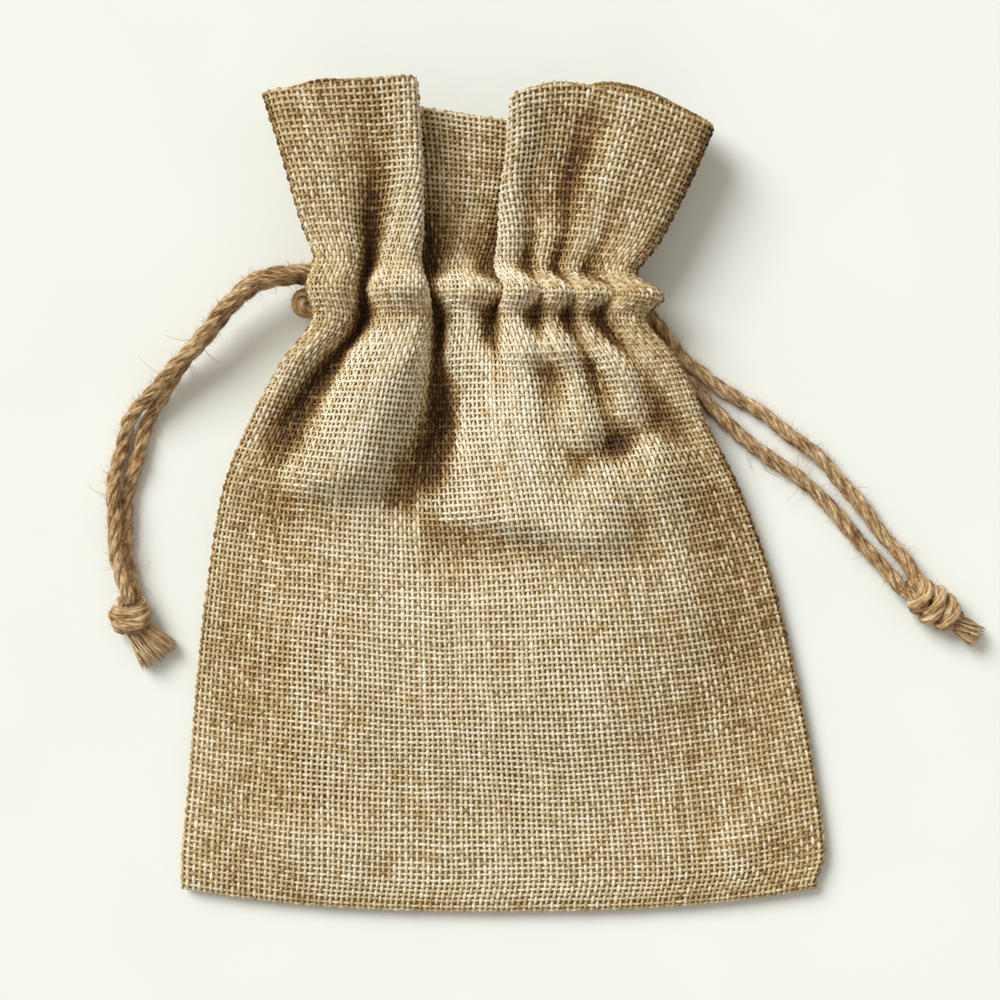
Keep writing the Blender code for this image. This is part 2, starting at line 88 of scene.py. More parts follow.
def add_node(tree, kind, inputs=None, **settings):
    """A node with its settings, and its sockets given a value or linked to one."""
    node = tree.nodes.new(kind)
    for name, value in settings.items():
        setattr(node, name, value)
    for name, value in (inputs or {}).items():
        if isinstance(value, bpy.types.NodeSocket):
            tree.links.new(value, node.inputs[name])
        else:
            node.inputs[name].default_value = value
    return node


def maths(tree, operation, *values):
    """The result of an operation on numbers or sockets."""
    return add_node(
        tree, "ShaderNodeMath", dict(enumerate(values)), operation=operation).outputs[0]


def ramp(tree, factor, *stops):
    """Colours that follow a factor, given as pairs of place and sRGB hex."""
    node = add_node(tree, "ShaderNodeValToRGB", {"Fac": factor})
    elements = node.color_ramp.elements
    while len(elements) < len(stops):
        elements.new(0.5)
    for element, (place, colour) in zip(elements, stops):
        element.position = place
        element.color = linear(colour)
    return node.outputs["Color"]


def patchy(tree, scale, detail):
    """A number that varies in soft patches all through the object."""
    where = add_node(tree, "ShaderNodeTexCoord")
    return add_node(tree, "ShaderNodeTexNoise", {
        "Vector": where.outputs["Object"], "Scale": scale, "Detail": detail}).outputs["Fac"]


def fibrous(tree, lie, stretch, detail, roughness):
    """A number that varies in streaks, as fibres do along the thread that this map unrolls."""
    drawn = add_node(tree, "ShaderNodeMapping", {"Vector": lie, "Scale": stretch})
    return add_node(tree, "ShaderNodeTexNoise", {
        "Vector": drawn.outputs["Vector"], "Scale": 1.0, "Detail": detail,
        "Roughness": roughness}).outputs["Fac"]


def new_material(name):
    """An empty material and its node tree."""
    material = bpy.data.materials.new(name)
    material.use_nodes = True
    material.node_tree.nodes.clear()
    return material, material.node_tree


def finish_material(tree, colour, height, distance, **sockets):
    """Principled shader with a bump from the height, a distance in metres."""
    bump = add_node(tree, "ShaderNodeBump", {"Height": height, "Distance": distance})
    shader = add_node(tree, "ShaderNodeBsdfPrincipled", {
        "Base Color": colour, "Normal": bump.outputs["Normal"],
        **{name.replace("_", " "): value for name, value in sockets.items()},
    })
    output = add_node(tree, "ShaderNodeOutputMaterial")
    tree.links.new(shader.outputs["BSDF"], output.inputs["Surface"])


# Retted jute, spun and oiled lightly: brown, with paler fibres lying along each ply and
# dark grooves between them, and no gloss beyond a soft sheen.  The streaks are also the
# bump, so the paler raised fibres are partly painted highlight and the dark grooves partly
# painted shade, over the fibres' own uneven colour.  Its map runs in millimetres along a
# ply, then once round it, then from ply to ply.
twine_jute, nodes = new_material("jute_twine_spun")
lay_map = add_node(nodes, "ShaderNodeAttribute", attribute_name="ply_map")
fibres = fibrous(nodes, lay_map.outputs["Vector"], (0.45, 9.0, 3.0), 4.0, 0.7)
tone = maths(nodes, "MULTIPLY_ADD", patchy(nodes, 260.0, 2.0), 0.3, fibres)
fibre_colour = ramp(nodes, tone, (0.50, "#5C3B1D"), (0.58, "#9A7445"),
                    (0.67, "#C59E6B"), (0.76, "#EACEA4"), (0.88, "#F6E7CC"))
finish_material(nodes, fibre_colour, fibres, 0.0006,
                Roughness=0.9, Sheen_Weight=0.1, Sheen_Roughness=0.5)


def new_tree(name, **sockets):
    """A Geometry Nodes tree with a named input for each size, and its first node."""
    tree = bpy.data.node_groups.new(name, "GeometryNodeTree")
    tree.interface.new_socket("Geometry", in_out="INPUT", socket_type="NodeSocketGeometry")
    for label, kind in sockets.items():
        tree.interface.new_socket(
            label.replace("_", " "), in_out="INPUT", socket_type="NodeSocket" + kind)
    tree.interface.new_socket("Geometry", in_out="OUTPUT", socket_type="NodeSocketGeometry")
    return tree, tree.nodes.new("NodeGroupInput").outputs


def at_points(tree, name, kind):
    """What the guide holds under this name at each of its points."""
    return add_node(
        tree, "GeometryNodeInputNamedAttribute", {"Name": name}, data_type=kind,
    ).outputs["Attribute"]


def captured(tree, geometry, label, value):
    """The geometry with a number kept at each of its points, and that number."""
    keep = add_node(tree, "GeometryNodeCaptureAttribute", {"Geometry": geometry}, domain="POINT")
    keep.capture_items.new("FLOAT", label)
    tree.links.new(value, keep.inputs[label])
    return keep.outputs[0], keep.outputs[label]


def swept_ring(tree, curve, ring):
    """A tube along each curve, as wide as its girth says, and how far round a point is."""
    factor = add_node(tree, "GeometryNodeSplineParameter").outputs["Factor"]
    profile, about = captured(tree, ring, "about", factor)
    tube = add_node(tree, "GeometryNodeCurveToMesh", {
        "Curve": curve, "Profile Curve": profile, "Scale": at_points(tree, "girth", "FLOAT")})
    return tube.outputs[0], about


def unrolled(tree, tube, label, place, kind):
    """The tube with a map at its corners, and then with its seam closed."""
    mapped = add_node(tree, "GeometryNodeStoreNamedAttribute", {
        "Geometry": tube, "Name": label, "Value": place}, data_type=kind, domain="CORNER")
    return add_node(tree, "GeometryNodeMergeByDistance", {
        "Geometry": mapped.outputs[0], "Distance": WELD}).outputs[0]


def close_tree(tree, geometry, material):
    """The tree's end: real geometry, smooth, with its material."""
    real = add_node(tree, "GeometryNodeRealizeInstances", {"Geometry": geometry})
    smooth = add_node(tree, "GeometryNodeSetShadeSmooth", {"Geometry": real.outputs[0]})
    dressed = add_node(tree, "GeometryNodeSetMaterial", {
        "Geometry": smooth.outputs[0], "Material": material})
    output = tree.nodes.new("NodeGroupOutput")
    tree.links.new(dressed.outputs[0], output.inputs["Geometry"])


def line_mesh(name, lines, **attributes):
    """Open lines of points as a mesh of edges, with a number or a vector at each point."""
    mesh = bpy.data.meshes.new(name)
    starts = np.cumsum([0, *(len(line) for line in lines)])
    points = np.concatenate(lines)
    first = np.setdiff1d(np.arange(len(points)), starts[1:] - 1)
    mesh.from_pydata(points, np.stack([first, first + 1], axis=1), [])
    for label, values in attributes.items():
        values = np.concatenate(values)
        kind = ("FLOAT", "value") if values.ndim == 1 else ("FLOAT_VECTOR", "vector")
        layer = mesh.attributes.new(label, kind[0], "POINT")
        layer.data.foreach_set(kind[1], values.astype(np.float32).ravel())
    return mesh


def grown(name, guide_mesh, tree, **values):
    """The plain mesh that a tree grows from a guide, as an object of its own."""
    guide = in_scene(name + "_guide", guide_mesh)
    modifier = guide.modifiers.new(tree.name, "NODES")
    modifier.node_group = tree
    for socket in tree.interface.items_tree:
        if socket.in_out == "INPUT" and socket.name.replace(" ", "_") in values:
            modifier[socket.identifier] = values[socket.name.replace(" ", "_")]
    graph = bpy.context.evaluated_depsgraph_get()
    mesh = bpy.data.meshes.new_from_object(
        guide.evaluated_get(graph), preserve_all_data_layers=True, depsgraph=graph)
    bpy.data.objects.remove(guide)
    mesh.name = name
    return in_scene(name, mesh)


# Lays plies round a route, and sets loose fibres on them.
twine_tree, given = new_tree(
    "lay_up_twine", Plies="Int", Ply_radius="Float", Ply_offset="Float", Lay="Float",
    Fibres="Float", Fibre_length="Float", Seed="Int", Material="Material")
spline = add_node(twine_tree, "GeometryNodeMeshToCurve", {"Mesh": given["Geometry"]})
plies = add_node(twine_tree, "GeometryNodeDuplicateElements", {
    "Geometry": spline.outputs[0], "Amount": given["Plies"]}, domain="SPLINE")
along = add_node(twine_tree, "GeometryNodeSplineParameter")
turns = maths(twine_tree, "DIVIDE", along.outputs["Length"], given["Lay"])
share = maths(twine_tree, "DIVIDE", plies.outputs["Duplicate Index"], given["Plies"])
angle = maths(twine_tree, "MULTIPLY", maths(twine_tree, "ADD", turns, share), 2 * math.pi)
outward = add_node(twine_tree, "ShaderNodeVectorRotate", {
    "Vector": add_node(twine_tree, "GeometryNodeInputNormal").outputs["Normal"],
    "Axis": add_node(twine_tree, "GeometryNodeInputTangent").outputs["Tangent"],
    "Angle": angle})
aside = add_node(twine_tree, "ShaderNodeVectorMath", {
    "Vector": outward.outputs[0], "Scale": given["Ply offset"]}, operation="SCALE")
twisted = add_node(twine_tree, "GeometryNodeSetPosition", {
    "Geometry": plies.outputs["Geometry"], "Offset": aside.outputs[0]})
routed, run = captured(twine_tree, twisted.outputs[0], "run", along.outputs["Length"])
ring = add_node(twine_tree, "GeometryNodeCurveArc", {
    "Resolution": PLY_SIDES + 1, "Radius": given["Ply radius"], "Sweep Angle": 2 * math.pi})
tube, about = swept_ring(twine_tree, routed, ring.outputs[0])
place = add_node(twine_tree, "ShaderNodeCombineXYZ", {
    "X": maths(twine_tree, "MULTIPLY", run, 1 / MM), "Y": about, "Z": share})
closed = unrolled(twine_tree, tube, "ply_map", place.outputs[0], "FLOAT_VECTOR")
roots = add_node(twine_tree, "GeometryNodeDistributePointsOnFaces", {
    "Mesh": closed, "Density": given["Fibres"], "Seed": given["Seed"]})
hair_line = add_node(twine_tree, "GeometryNodeCurveQuadraticBezier", {
    "Resolution": 2, "Start": (0.0, 0.0, -0.1), "Middle": (0.0, 0.05, 0.75),
    "End": (0.0, 0.55, 1.0)})
hair_thin = add_node(twine_tree, "ShaderNodeMapRange", {
    "Value": along.outputs["Factor"], "From Min": 0.0, "From Max": 1.0,
    "To Min": 1.0, "To Max": FIBRE_TIP})
hair = add_node(twine_tree, "GeometryNodeCurveToMesh", {
    "Curve": hair_line.outputs[0],
    "Profile Curve": add_node(twine_tree, "GeometryNodeCurvePrimitiveCircle", {
        "Resolution": 3, "Radius": FIBRE_RADIUS}).outputs[0],
    "Scale": hair_thin.outputs[0], "Fill Caps": True})
lean = add_node(twine_tree, "FunctionNodeRandomValue", {
    0: (-1.0, -1.0, -0.5), 1: (1.0, 1.0, 1.0), "Seed": given["Seed"]}, data_type="FLOAT_VECTOR")
both = add_node(twine_tree, "ShaderNodeVectorMath", {
    0: roots.outputs["Normal"], 1: lean.outputs["Value"]}, operation="ADD")
stand = add_node(twine_tree, "FunctionNodeAlignRotationToVector", {
    "Vector": both.outputs[0]}, axis="Z")
size = add_node(twine_tree, "FunctionNodeRandomValue", {
    2: 0.35, 3: 1.0, "Seed": 7}, data_type="FLOAT")
fuzz = add_node(twine_tree, "GeometryNodeInstanceOnPoints", {
    "Points": roots.outputs["Points"], "Instance": hair.outputs[0],
    "Rotation": stand.outputs[0],
    "Scale": maths(twine_tree, "MULTIPLY", size.outputs[1], given["Fibre length"])})
whole = add_node(twine_tree, "GeometryNodeJoinGeometry")
for part in (fuzz.outputs[0], closed):
    twine_tree.links.new(part, whole.inputs[0])
close_tree(twine_tree, whole.outputs[0], given["Material"])

# ---------------------------------------------------------------- drawcords
# Two strands leave the casing at each side and run to a knot.  They lie loose: on the
# left they come down from the top of the casing, on the right they lie on the floor.

# The tables' own zero, from below the middle of the finished sack
TABLE_ZERO = Vector((-0.15, -0.06, -0.1))
INTO_CLOTH = 2.2  # how far a strand runs on into what hides its start
INTO_KNOT = 2.4  # and into the knot at its end
ROUTE_STEP = 0.45  # between the close points of a strand's route

# Each route starts at the casing and ends at the knot.
ROUTES = {
    "left_strand_outer": (
        (-38.7, 44.2, 10.2),
        (-41.5, 43.9, 10.8),
        (-44.8, 43.2, 11.1),
        (-49.5, 41.5, 10.9),
        (-53.8, 37.6, 10.2),
        (-57.6, 33.0, 9.2),
        (-61.7, 28.5, 7.9),
        (-65.8, 24.1, 6.5),
        (-70.4, 19.3, 4.8),
        (-72.8, 16.6, 3.6),
        (-74.6, 13.6, 2.4),
        (-75.9, 9.4, 1.8),
        (-76.8, 5.0, 2.3),
        (-77.2, 0.4, 3.6),
        (-77.0, -4.2, 4.2),
        (-76.7, -8.6, 4.3),
        (-76.3, -13.4, 4.4),
        (-75.2, -16.9, 4.7),
        (-74.0, -19.5, 5.1),
    ),
    "left_strand_inner": (
        (-39.1, 42.7, 7.0),
        (-42.6, 42.6, 7.6),
        (-46.0, 42.1, 7.8),
        (-49.3, 40.8, 7.6),
        (-53.4, 37.1, 6.9),
        (-57.5, 32.6, 5.9),
        (-61.4, 28.2, 4.6),
        (-65.2, 23.6, 3.2),
        (-67.4, 20.2, 2.5),
        (-69.3, 17.0, 2.0),
        (-70.9, 13.7, 1.7),
        (-72.0, 10.2, 1.6),
        (-72.9, 6.6, 1.6),
        (-73.8, 3.2, 1.6),
        (-74.8, -0.6, 1.6),
        (-75.0, -4.4, 1.6),
        (-75.0, -8.4, 1.6),
        (-74.8, -12.8, 1.6),
        (-74.0, -16.6, 1.7),
        (-73.4, -19.6, 1.9),
    ),
    "right_strand_upper": (
        (29.0, 36.2, 2.6),
        (32.6, 31.6, 2.0),
        (36.6, 27.0, 1.7),
        (41.6, 22.6, 1.7),
        (47.0, 19.4, 1.6),
        (53.0, 15.4, 1.6),
        (59.4, 10.6, 1.6),
        (65.4, 5.4, 1.6),
        (70.4, -0.8, 1.6),
        (75.2, -6.8, 1.7),
        (79.4, -12.0, 2.1),
        (81.9, -15.6, 2.8),
    ),
    "right_strand_lower": (
        (32.0, 27.4, 1.7),
        (35.4, 24.0, 1.7),
        (39.2, 20.6, 1.6),
        (43.4, 16.0, 1.6),
        (48.6, 11.0, 1.6),
        (54.6, 6.6, 1.6),
        (60.8, 2.2, 1.6),
        (66.2, -3.2, 1.6),
        (71.0, -8.9, 1.7),
        (75.4, -13.8, 2.1),
        (78.6, -17.4, 2.8),
    ),
}
BIGHT_ROUTE = (
    (-38.3, 40.3, 5.4),
    (-39.4, 39.8, 5.4),
    (-40.1, 38.5, 5.3),
    (-40.0, 37.0, 5.2),
    (-39.0, 36.1, 5.1),
    (-37.8, 36.0, 5.1),
)
BIGHT_MIDDLE = 38.2  # y about which the bight's turn is pulled closer together
BIGHT_PULL = 0.68
BIGHT_WIDTH = 3.3


def smooth_route(points, spacing):
    """Points a spacing apart on a smooth curve through the route's points."""
    route = [Vector(p) for p in points]
    route = [2 * route[0] - route[1], *route, 2 * route[-1] - route[-2]]
    dense = []
    for p0, p1, p2, p3 in zip(route, route[1:], route[2:], route[3:]):
        for step in range(24):
            t = step / 24
            dense.append(
                0.5 * (
                    2 * p1
                    + (p2 - p0) * t
                    + (2 * p0 - 5 * p1 + 4 * p2 - p3) * t**2
                    + (3 * p1 - p0 - 3 * p2 + p3) * t**3
                )
            )
    dense.append(route[-2])
    lengths = np.cumsum([0.0, *((b - a).length for a, b in zip(dense, dense[1:]))])
    count = max(2, round(lengths[-1] / spacing))
    at = np.linspace(0, lengths[-1], count + 1)
    columns = np.array([tuple(p) for p in dense]).T
    return np.stack([np.interp(at, lengths, axis) for axis in columns], axis=1)


def in_metres(points):
    """Points of the tables where they stand in the finished sack."""
    return (np.asarray(points) + np.array(TABLE_ZERO)) * MM


def lay_up(name, route, width, seed, fibres=1.6, reach=1.9):
    """Three-ply twine along a route of close points, as uneven as it is spun.

    fibres is the number of loose ones on a square millimetre, and reach the longest.
    """
    waves = np.random.default_rng(seed).uniform(0, 6, 3)
    at = np.arange(len(route)) * np.linalg.norm(route[1] - route[0])
    girth = 1 + 0.05 * np.sin(at / 1.1 + waves[0]) + 0.06 * np.sin(at / 2.7 + waves[1])
    route = route + 0.12 * np.stack([np.sin(at / 2.1 + w) for w in waves], axis=1)
    girth[[0, -1]] = 0.001
    piece = grown(
        name, line_mesh(name, [in_metres(route)], girth=[girth]), twine_tree,
        Plies=3, Ply_radius=PLY_RADIUS * width * MM, Ply_offset=PLY_OFFSET * width * MM,
        Lay=LAY * width / TWINE * MM, Fibres=fibres / MM**2, Fibre_length=reach * MM,
        Seed=seed, Material=twine_jute)
    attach(piece, "root")
    return piece


def run_on(route, before, after):
    """The route carried on straight at both ends, into what hides them."""
    first, last = (route[0] - route[1]), (route[-1] - route[-2])
    first, last = first / np.linalg.norm(first), last / np.linalg.norm(last)
    step = np.arange(1, 6)[:, None] / 5
    return np.concatenate([route[0] + first * before * step[::-1], route,
                           route[-1] + last * after * step])


strands, runs = {}, {}
for seed, (name, route) in enumerate(ROUTES.items(), 11):
    runs[name] = run_on(smooth_route(route, ROUTE_STEP), INTO_CLOTH, INTO_KNOT)
    strands[name] = lay_up(name + "_twine", runs[name], TWINE, seed)
    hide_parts(name)
tight = smooth_route(BIGHT_ROUTE, spacing=0.3)
tight[:, 1] = BIGHT_MIDDLE + BIGHT_PULL * (tight[:, 1] - BIGHT_MIDDLE)
bight = lay_up("cord_bight_twine", run_on(tight, 1.5, 1.5), BIGHT_WIDTH, seed=31)
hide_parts("cord_bight")

# ---------------------------------------------------------------- knots
# Each pair of strands is tied in an overhand knot: turns of the same twine, pulled
# tight round the strands that pass through them.

# x, y: its middle; long, wide, tall: its size; angle: the way that its cords run on;
# turns: how often the twine goes round; lean: how far a turn slants.
Knot = namedtuple("Knot", "x y long wide tall angle turns lean")
KNOTS = {
    "left_knot": Knot(-73.9, -23.8, 7.0, 8.2, 6.4, -86.0, 2.0, 0.9),
    "right_knot": Knot(85.5, -21.6, 12.4, 7.8, 6.6, -37.0, 3.0, 1.0),
}
TURN_WIDTH = 3.25  # the twine's width where it is pressed flat in a turn
CORE_WIDTH = 2.5  # and where it is squeezed on its way through
CORE_OFFSET = 1.15  # of each strand from the knot's middle line


def knot_frame(knot):
    """The knot's middle, and its directions along, aside and up."""
    turn = math.radians(knot.angle)
    ahead = np.array([math.cos(turn), math.sin(turn), 0.0])
    aside = np.array([-math.sin(turn), math.cos(turn), 0.0])
    return np.array([knot.x, knot.y, knot.tall / 2 + 0.2]), ahead, aside


def knot_turns(knot):
    """The slanting turns round the outside of a knot, as close points."""
    middle, ahead, aside = knot_frame(knot)
    t = np.linspace(0, 1, round(knot.turns * 40) + 1)
    around = 2 * math.pi * knot.turns * t - 0.5 * math.pi
    pinch = 0.80 + 0.20 * np.sin(math.pi * np.clip(1.25 * t - 0.125, 0, 1))
    run = (t - 0.5) * (knot.long - TWINE) + 0.85 * knot.lean * np.sin(around)
    side = (knot.wide - TWINE) / 2 * pinch * np.cos(around)
    rise = (knot.tall - TWINE) / 2 * pinch * np.sin(around)
    return (middle + run[:, None] * ahead + side[:, None] * aside
            + rise[:, None] * np.array([0.0, 0.0, 1.0]))


def joined(name, pieces):
    """Several pieces as one mesh."""
    with bpy.context.temp_override(active_object=pieces[0], selected_editable_objects=pieces):
        bpy.ops.object.join()
    pieces[0].name = pieces[0].data.name = name
    return pieces[0]


for name, knot in KNOTS.items():
    middle, ahead, aside = knot_frame(knot)
    turns_round = lay_up(name + "_turns", knot_turns(knot), TURN_WIDTH,
                         seed=41, fibres=1.0, reach=1.4)
    through = []
    for side in (-1, 1):
        steps = np.linspace(-0.5, 0.5, 24)[:, None] * (knot.long + 0.6)
        core = middle + steps * ahead + CORE_OFFSET * side * aside
        through.append(lay_up(f"{name}_core_{side}", core, CORE_WIDTH,
                              seed=43 + side, fibres=0.2, reach=1.2))
    joined(name + "_twine", [turns_round, *through])
    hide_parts(name)

# ---------------------------------------------------------------- frayed tails
# Past its knot each cord is cut, and its plies have untwisted into a brush of fibres.

# From (x0, y0, z0) at the knot to (x1, y1, z1) at the cut; root, tip: radius at each end
Tail = namedtuple("Tail", "x0 y0 z0 x1 y1 z1 root tip")
TAILS = {
    "left_tail_lower": Tail(-72.7, -27.9, 2.2, -69.5, -33.9, 2.3, 1.7, 2.6),
    "left_tail_upper": Tail(-70.0, -26.7, 2.2, -66.0, -31.4, 2.1, 1.6, 2.3),
    "right_tail": Tail(91.2, -25.8, 2.7, 95.0, -28.5, 2.6, 2.0, 2.7),
}


THREAD_SIDES = 3

# Sweeps a thin closed thread along each line, as wide as its girth says.  Its bake map
# unrolls it into a lane of its own, whose Z says how wide it is.
thread_tree, given = new_tree("sweep_threads", Flatness="Float", Material="Material")
spline = add_node(thread_tree, "GeometryNodeMeshToCurve", {"Mesh": given["Geometry"]})
turned = add_node(thread_tree, "GeometryNodeSetCurveNormal", {
    "Curve": spline.outputs[0], "Normal": at_points(thread_tree, "lie", "FLOAT_VECTOR")},
    mode="FREE")
ring = add_node(thread_tree, "GeometryNodeCurveArc", {
    "Resolution": THREAD_SIDES + 1, "Radius": 1.0, "Sweep Angle": 2 * math.pi})
oval = add_node(thread_tree, "GeometryNodeTransform", {
    "Geometry": ring.outputs[0], "Scale": add_node(thread_tree, "ShaderNodeCombineXYZ", {
        "X": given["Flatness"], "Y": 1.0, "Z": 1.0}).outputs[0]})
tube, about = swept_ring(thread_tree, turned.outputs[0], oval.outputs[0])
lane = at_points(thread_tree, "lane", "FLOAT_VECTOR")
wide = add_node(thread_tree, "ShaderNodeSeparateXYZ", {0: lane}).outputs["Z"]
spread = add_node(thread_tree, "ShaderNodeCombineXYZ", {
    "X": maths(thread_tree, "MULTIPLY", about, wide)})
place = add_node(thread_tree, "ShaderNodeVectorMath", {
    0: lane, 1: spread.outputs[0]}, operation="ADD")
closed = unrolled(thread_tree, tube, "OFBake", place.outputs[0], "FLOAT2")
close_tree(thread_tree, closed, given["Material"])


def swept_threads(name, lines, lies, girths, shades, flatness, material):
    """Threads along lines of points in metres; their bake map sets them side by side."""
    count = len(lines)
    lanes = [
        np.stack([np.full(len(line), (i + 0.04) / count), np.linspace(0.002, 0.998, len(line)),
                  np.full(len(line), 0.92 / count)], axis=1)
        for i, line in enumerate(lines)
    ]
    guide = line_mesh(name, lines, lie=lies, girth=girths, shade=shades, lane=lanes)
    piece = grown(name, guide, thread_tree, Flatness=flatness, Material=material)
    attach(piece, "root")
    return piece


def frayed(name, tail, knot, seed, fibres=190):
    """A brush of fibres that widens from inside the knot to its uneven cut end."""
    random = np.random.default_rng(seed)
    start = np.array([tail.x0, tail.y0, tail.z0])
    run = np.array([tail.x1, tail.y1, tail.z1]) - start
    side = np.cross(run, (0.0, 0.0, 1.0))
    side /= np.linalg.norm(side)
    up = np.cross(side, run / np.linalg.norm(run))
    middle, ahead, _ = knot_frame(knot)
    # Its root is inside the knot, towards the tail's own line carried back.
    root = 0.35 * (middle + ahead * knot.long * 0.32) + 0.65 * (start - run * 0.45)
    t = np.linspace(0, 1, 9)[:, None]
    spine = (1 - t) ** 2 * root + 2 * t * (1 - t) * (start + run * 0.15) + t**2 * (start + run)
    taper = np.array([0.02, 1, 1, 1, 1, 1, 0.9, 0.7, 0.03])  # closed at both ends
    lines, lies, girths, shades = [], [], [], []
    for _ in range(fibres):
        radius, around = math.sqrt(random.uniform(0, 1)), random.uniform(0, 2 * math.pi)
        reach = random.uniform(0.80, 1.05)
        twist = random.normal(0, 0.35)
        wave = random.normal(0, 0.14, 2)
        width = radius * (tail.root * (0.75 + 0.25 * t) + (tail.tip - tail.root) * t**2)
        turn = around + twist * t + 1.2 * t
        lift = width * np.sin(turn) * 0.9 + wave[0] * np.sin(4 * t)
        line = (spine + run * (reach - 1) * t + up * lift
                + side * (width * np.cos(turn) + wave[1] * np.sin(5 * t)))
        line[:, 2] = np.maximum(line[:, 2], 0.25)  # on the table, not in it
        lines.append(in_metres(line))
        lies.append(np.tile(up, (9, 1)))
        thick = random.uniform(0.07, 0.17) * MM
        girths.append(thick * taper)
        shades.append(np.full(9, random.uniform(0, 1)))
    piece = swept_threads(name, lines, lies, girths, shades, 1.0, tail_jute)
    return piece


# The same jute as the twine, opened into fibres of uneven colour.
tail_jute, nodes = new_material("jute_frayed_end")
shade = add_node(nodes, "ShaderNodeAttribute", attribute_name="shade")
patches = patchy(nodes, 900.0, 2.0)
tone = maths(nodes, "MULTIPLY", maths(nodes, "ADD", shade.outputs["Fac"], patches), 0.5)
finish_material(nodes, ramp(nodes, tone, (0.20, "#7E5A32"), (0.42, "#B58F5C"), (0.70, "#E9D0A3")),
                patches, 0.00004, Roughness=0.8, Sheen_Weight=0.1, Sheen_Roughness=0.5)

for seed, (name, tail) in enumerate(TAILS.items(), 61):
    frayed(name + "_fibres", tail, KNOTS[name.split("_")[0] + "_knot"], seed)
    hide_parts(name)

# ---------------------------------------------------------------- loose fibres
# Here and there a single fibre has come right out of the strands and curls away over
# the table.  With these the cords are whole: each runs from the casing to its knot.


def long_fibres(name, names, seed, count=22):
    """Fibres that leave the named strands at chance places, each with a bend of its own."""
    random = np.random.default_rng(seed)
    t = np.linspace(0, 1, 12)[:, None]
    lines, lies, girths, shades = [], [], [], []
    for _ in range(count):
        route = runs[random.choice(names)]
        at = random.integers(12, len(route) - 12)
        heading = route[at + 1] - route[at - 1]
        turn = math.atan2(heading[1], heading[0])
        turn += random.choice([-1, 1]) * random.uniform(0.3, 1.5)
        reach, bend = random.uniform(3.5, 9.5), random.uniform(-1.8, 1.8)
        turns = turn + bend * t[:, 0]
        climb = random.uniform(-0.2, 0.35) - 0.4 * t[:, 0]
        steps = np.stack([np.cos(turns), np.sin(turns), climb], axis=1)
        line = route[at] + np.cumsum(steps, axis=0) * reach / len(t)
        line[:, 2] = np.maximum(line[:, 2], 0.15)  # on the table, not in it
        lines.append(in_metres(line))
        lies.append(np.tile((0.0, 0.0, 1.0), (len(t), 1)))
        girths.append(np.linspace(0.075, 0.03, len(t)) * MM)
        girths[-1][[0, -1]] = 0.001 * MM
        shades.append(np.full(len(t), random.uniform(0.4, 1)))
    piece = swept_threads(name, lines, lies, girths, shades, 1.0, tail_jute)
    return piece


loose = {
    "left": long_fibres("left_loose_fibres", ["left_strand_outer", "left_strand_inner"], 81),
    "right": long_fibres("right_loose_fibres", ["right_strand_upper", "right_strand_lower"], 82),
}

# For each strand, its route in metres and its side are worked out; nothing uses them.
for name, strand in strands.items():
    route = in_metres(runs[name])
    side = name.split("_")[0]

# ---------------------------------------------------------------- burlap
# One piece of coarse jute cloth, folded in half at the bottom, seamed up both sides and
# turned in round the mouth.  Here is the line in which it lies, with its gathers.

CLOTH_WIDTH = 130.0  # seam to seam, laid flat
FOLD_RADIUS = 1.3  # of the cloth's turn at the bottom fold
HEM_RADIUS = 0.3  # of its turn at the mouth
HEM = 10.0  # how far the turned-in edge reaches down inside
GROUND_DEPTH = -0.12  # of the ground sheet from the cloth's middle surface
WARPS = 116  # upright yarns in each half of the cloth
WEFT_PITCH = 1.2  # from one cross yarn to the next

# A row for each cross-section, from the bottom fold up to the rim.
# along: distance up the cloth; y: place of the side seams; left, right: x of the seams;
# edge: height of the seams; turn: radius with which the cloth rounds the seam;
# crown: height of the front cloth's middle; belly: height of the back cloth's middle;
# sag: how far the row's middle hangs below its seams; slant: how far its right end does.
Section = namedtuple("Section", "along y left right edge turn crown belly sag slant")
SECTIONS = {
    "bottom fold": Section(0.0, -76.7, -63.6, 62.4, 1.9, 1.3, 3.0, 0.6, 4.6, 0.0),
    "lower corner": Section(6.0, -71.2, -63.4, 64.0, 1.9, 1.3, 4.6, 0.6, 4.6, 0.0),
    "lower body": Section(22.0, -56.2, -62.0, 62.2, 1.9, 1.3, 6.6, 0.6, 4.6, 0.0),
    "mid body": Section(45.0, -34.4, -60.2, 58.0, 1.9, 1.3, 8.6, 0.6, 4.4, 0.0),
    "belly": Section(63.0, -17.2, -58.2, 53.6, 2.2, 1.5, 9.6, 0.6, 4.2, 0.0),
    "upper body": Section(81.0, 0.5, -55.2, 47.2, 3.2, 1.9, 11.0, 0.6, 3.6, 0.0),
    "shoulder": Section(97.0, 15.0, -49.4, 39.9, 5.6, 2.4, 13.5, 0.7, 2.6, 0.0),
    "gather": Section(110.0, 26.0, -43.2, 34.8, 7.6, 3.2, 16.6, 1.0, 1.2, 0.0),
    "casing foot": Section(119.5, 35.5, -36.8, 28.0, 9.0, 4.0, 17.4, 1.0, 0.3, 0.4),
    "casing": Section(125.0, 41.0, -38.2, 31.4, 9.5, 5.0, 22.2, 0.6, 0.0, 2.2),
    "casing top": Section(131.0, 46.3, -36.6, 26.2, 9.5, 4.0, 17.8, 1.0, 0.0, 3.0),
    "flare foot": Section(138.0, 52.5, -39.0, 30.6, 9.0, 3.6, 18.5, 2.4, 0.0, 2.2),
    "flare": Section(150.0, 63.0, -42.3, 36.2, 9.5, 3.2, 20.5, 2.4, 0.0, 0.6),
    "rim": Section(165.0, 76.0, -46.8, 41.5, 10.0, 3.2, 22.0, 2.2, 0.0, 0.0),
}
MOUTH = SECTIONS["rim"].along - 0.7  # how far up the cloth turns over, at its middle

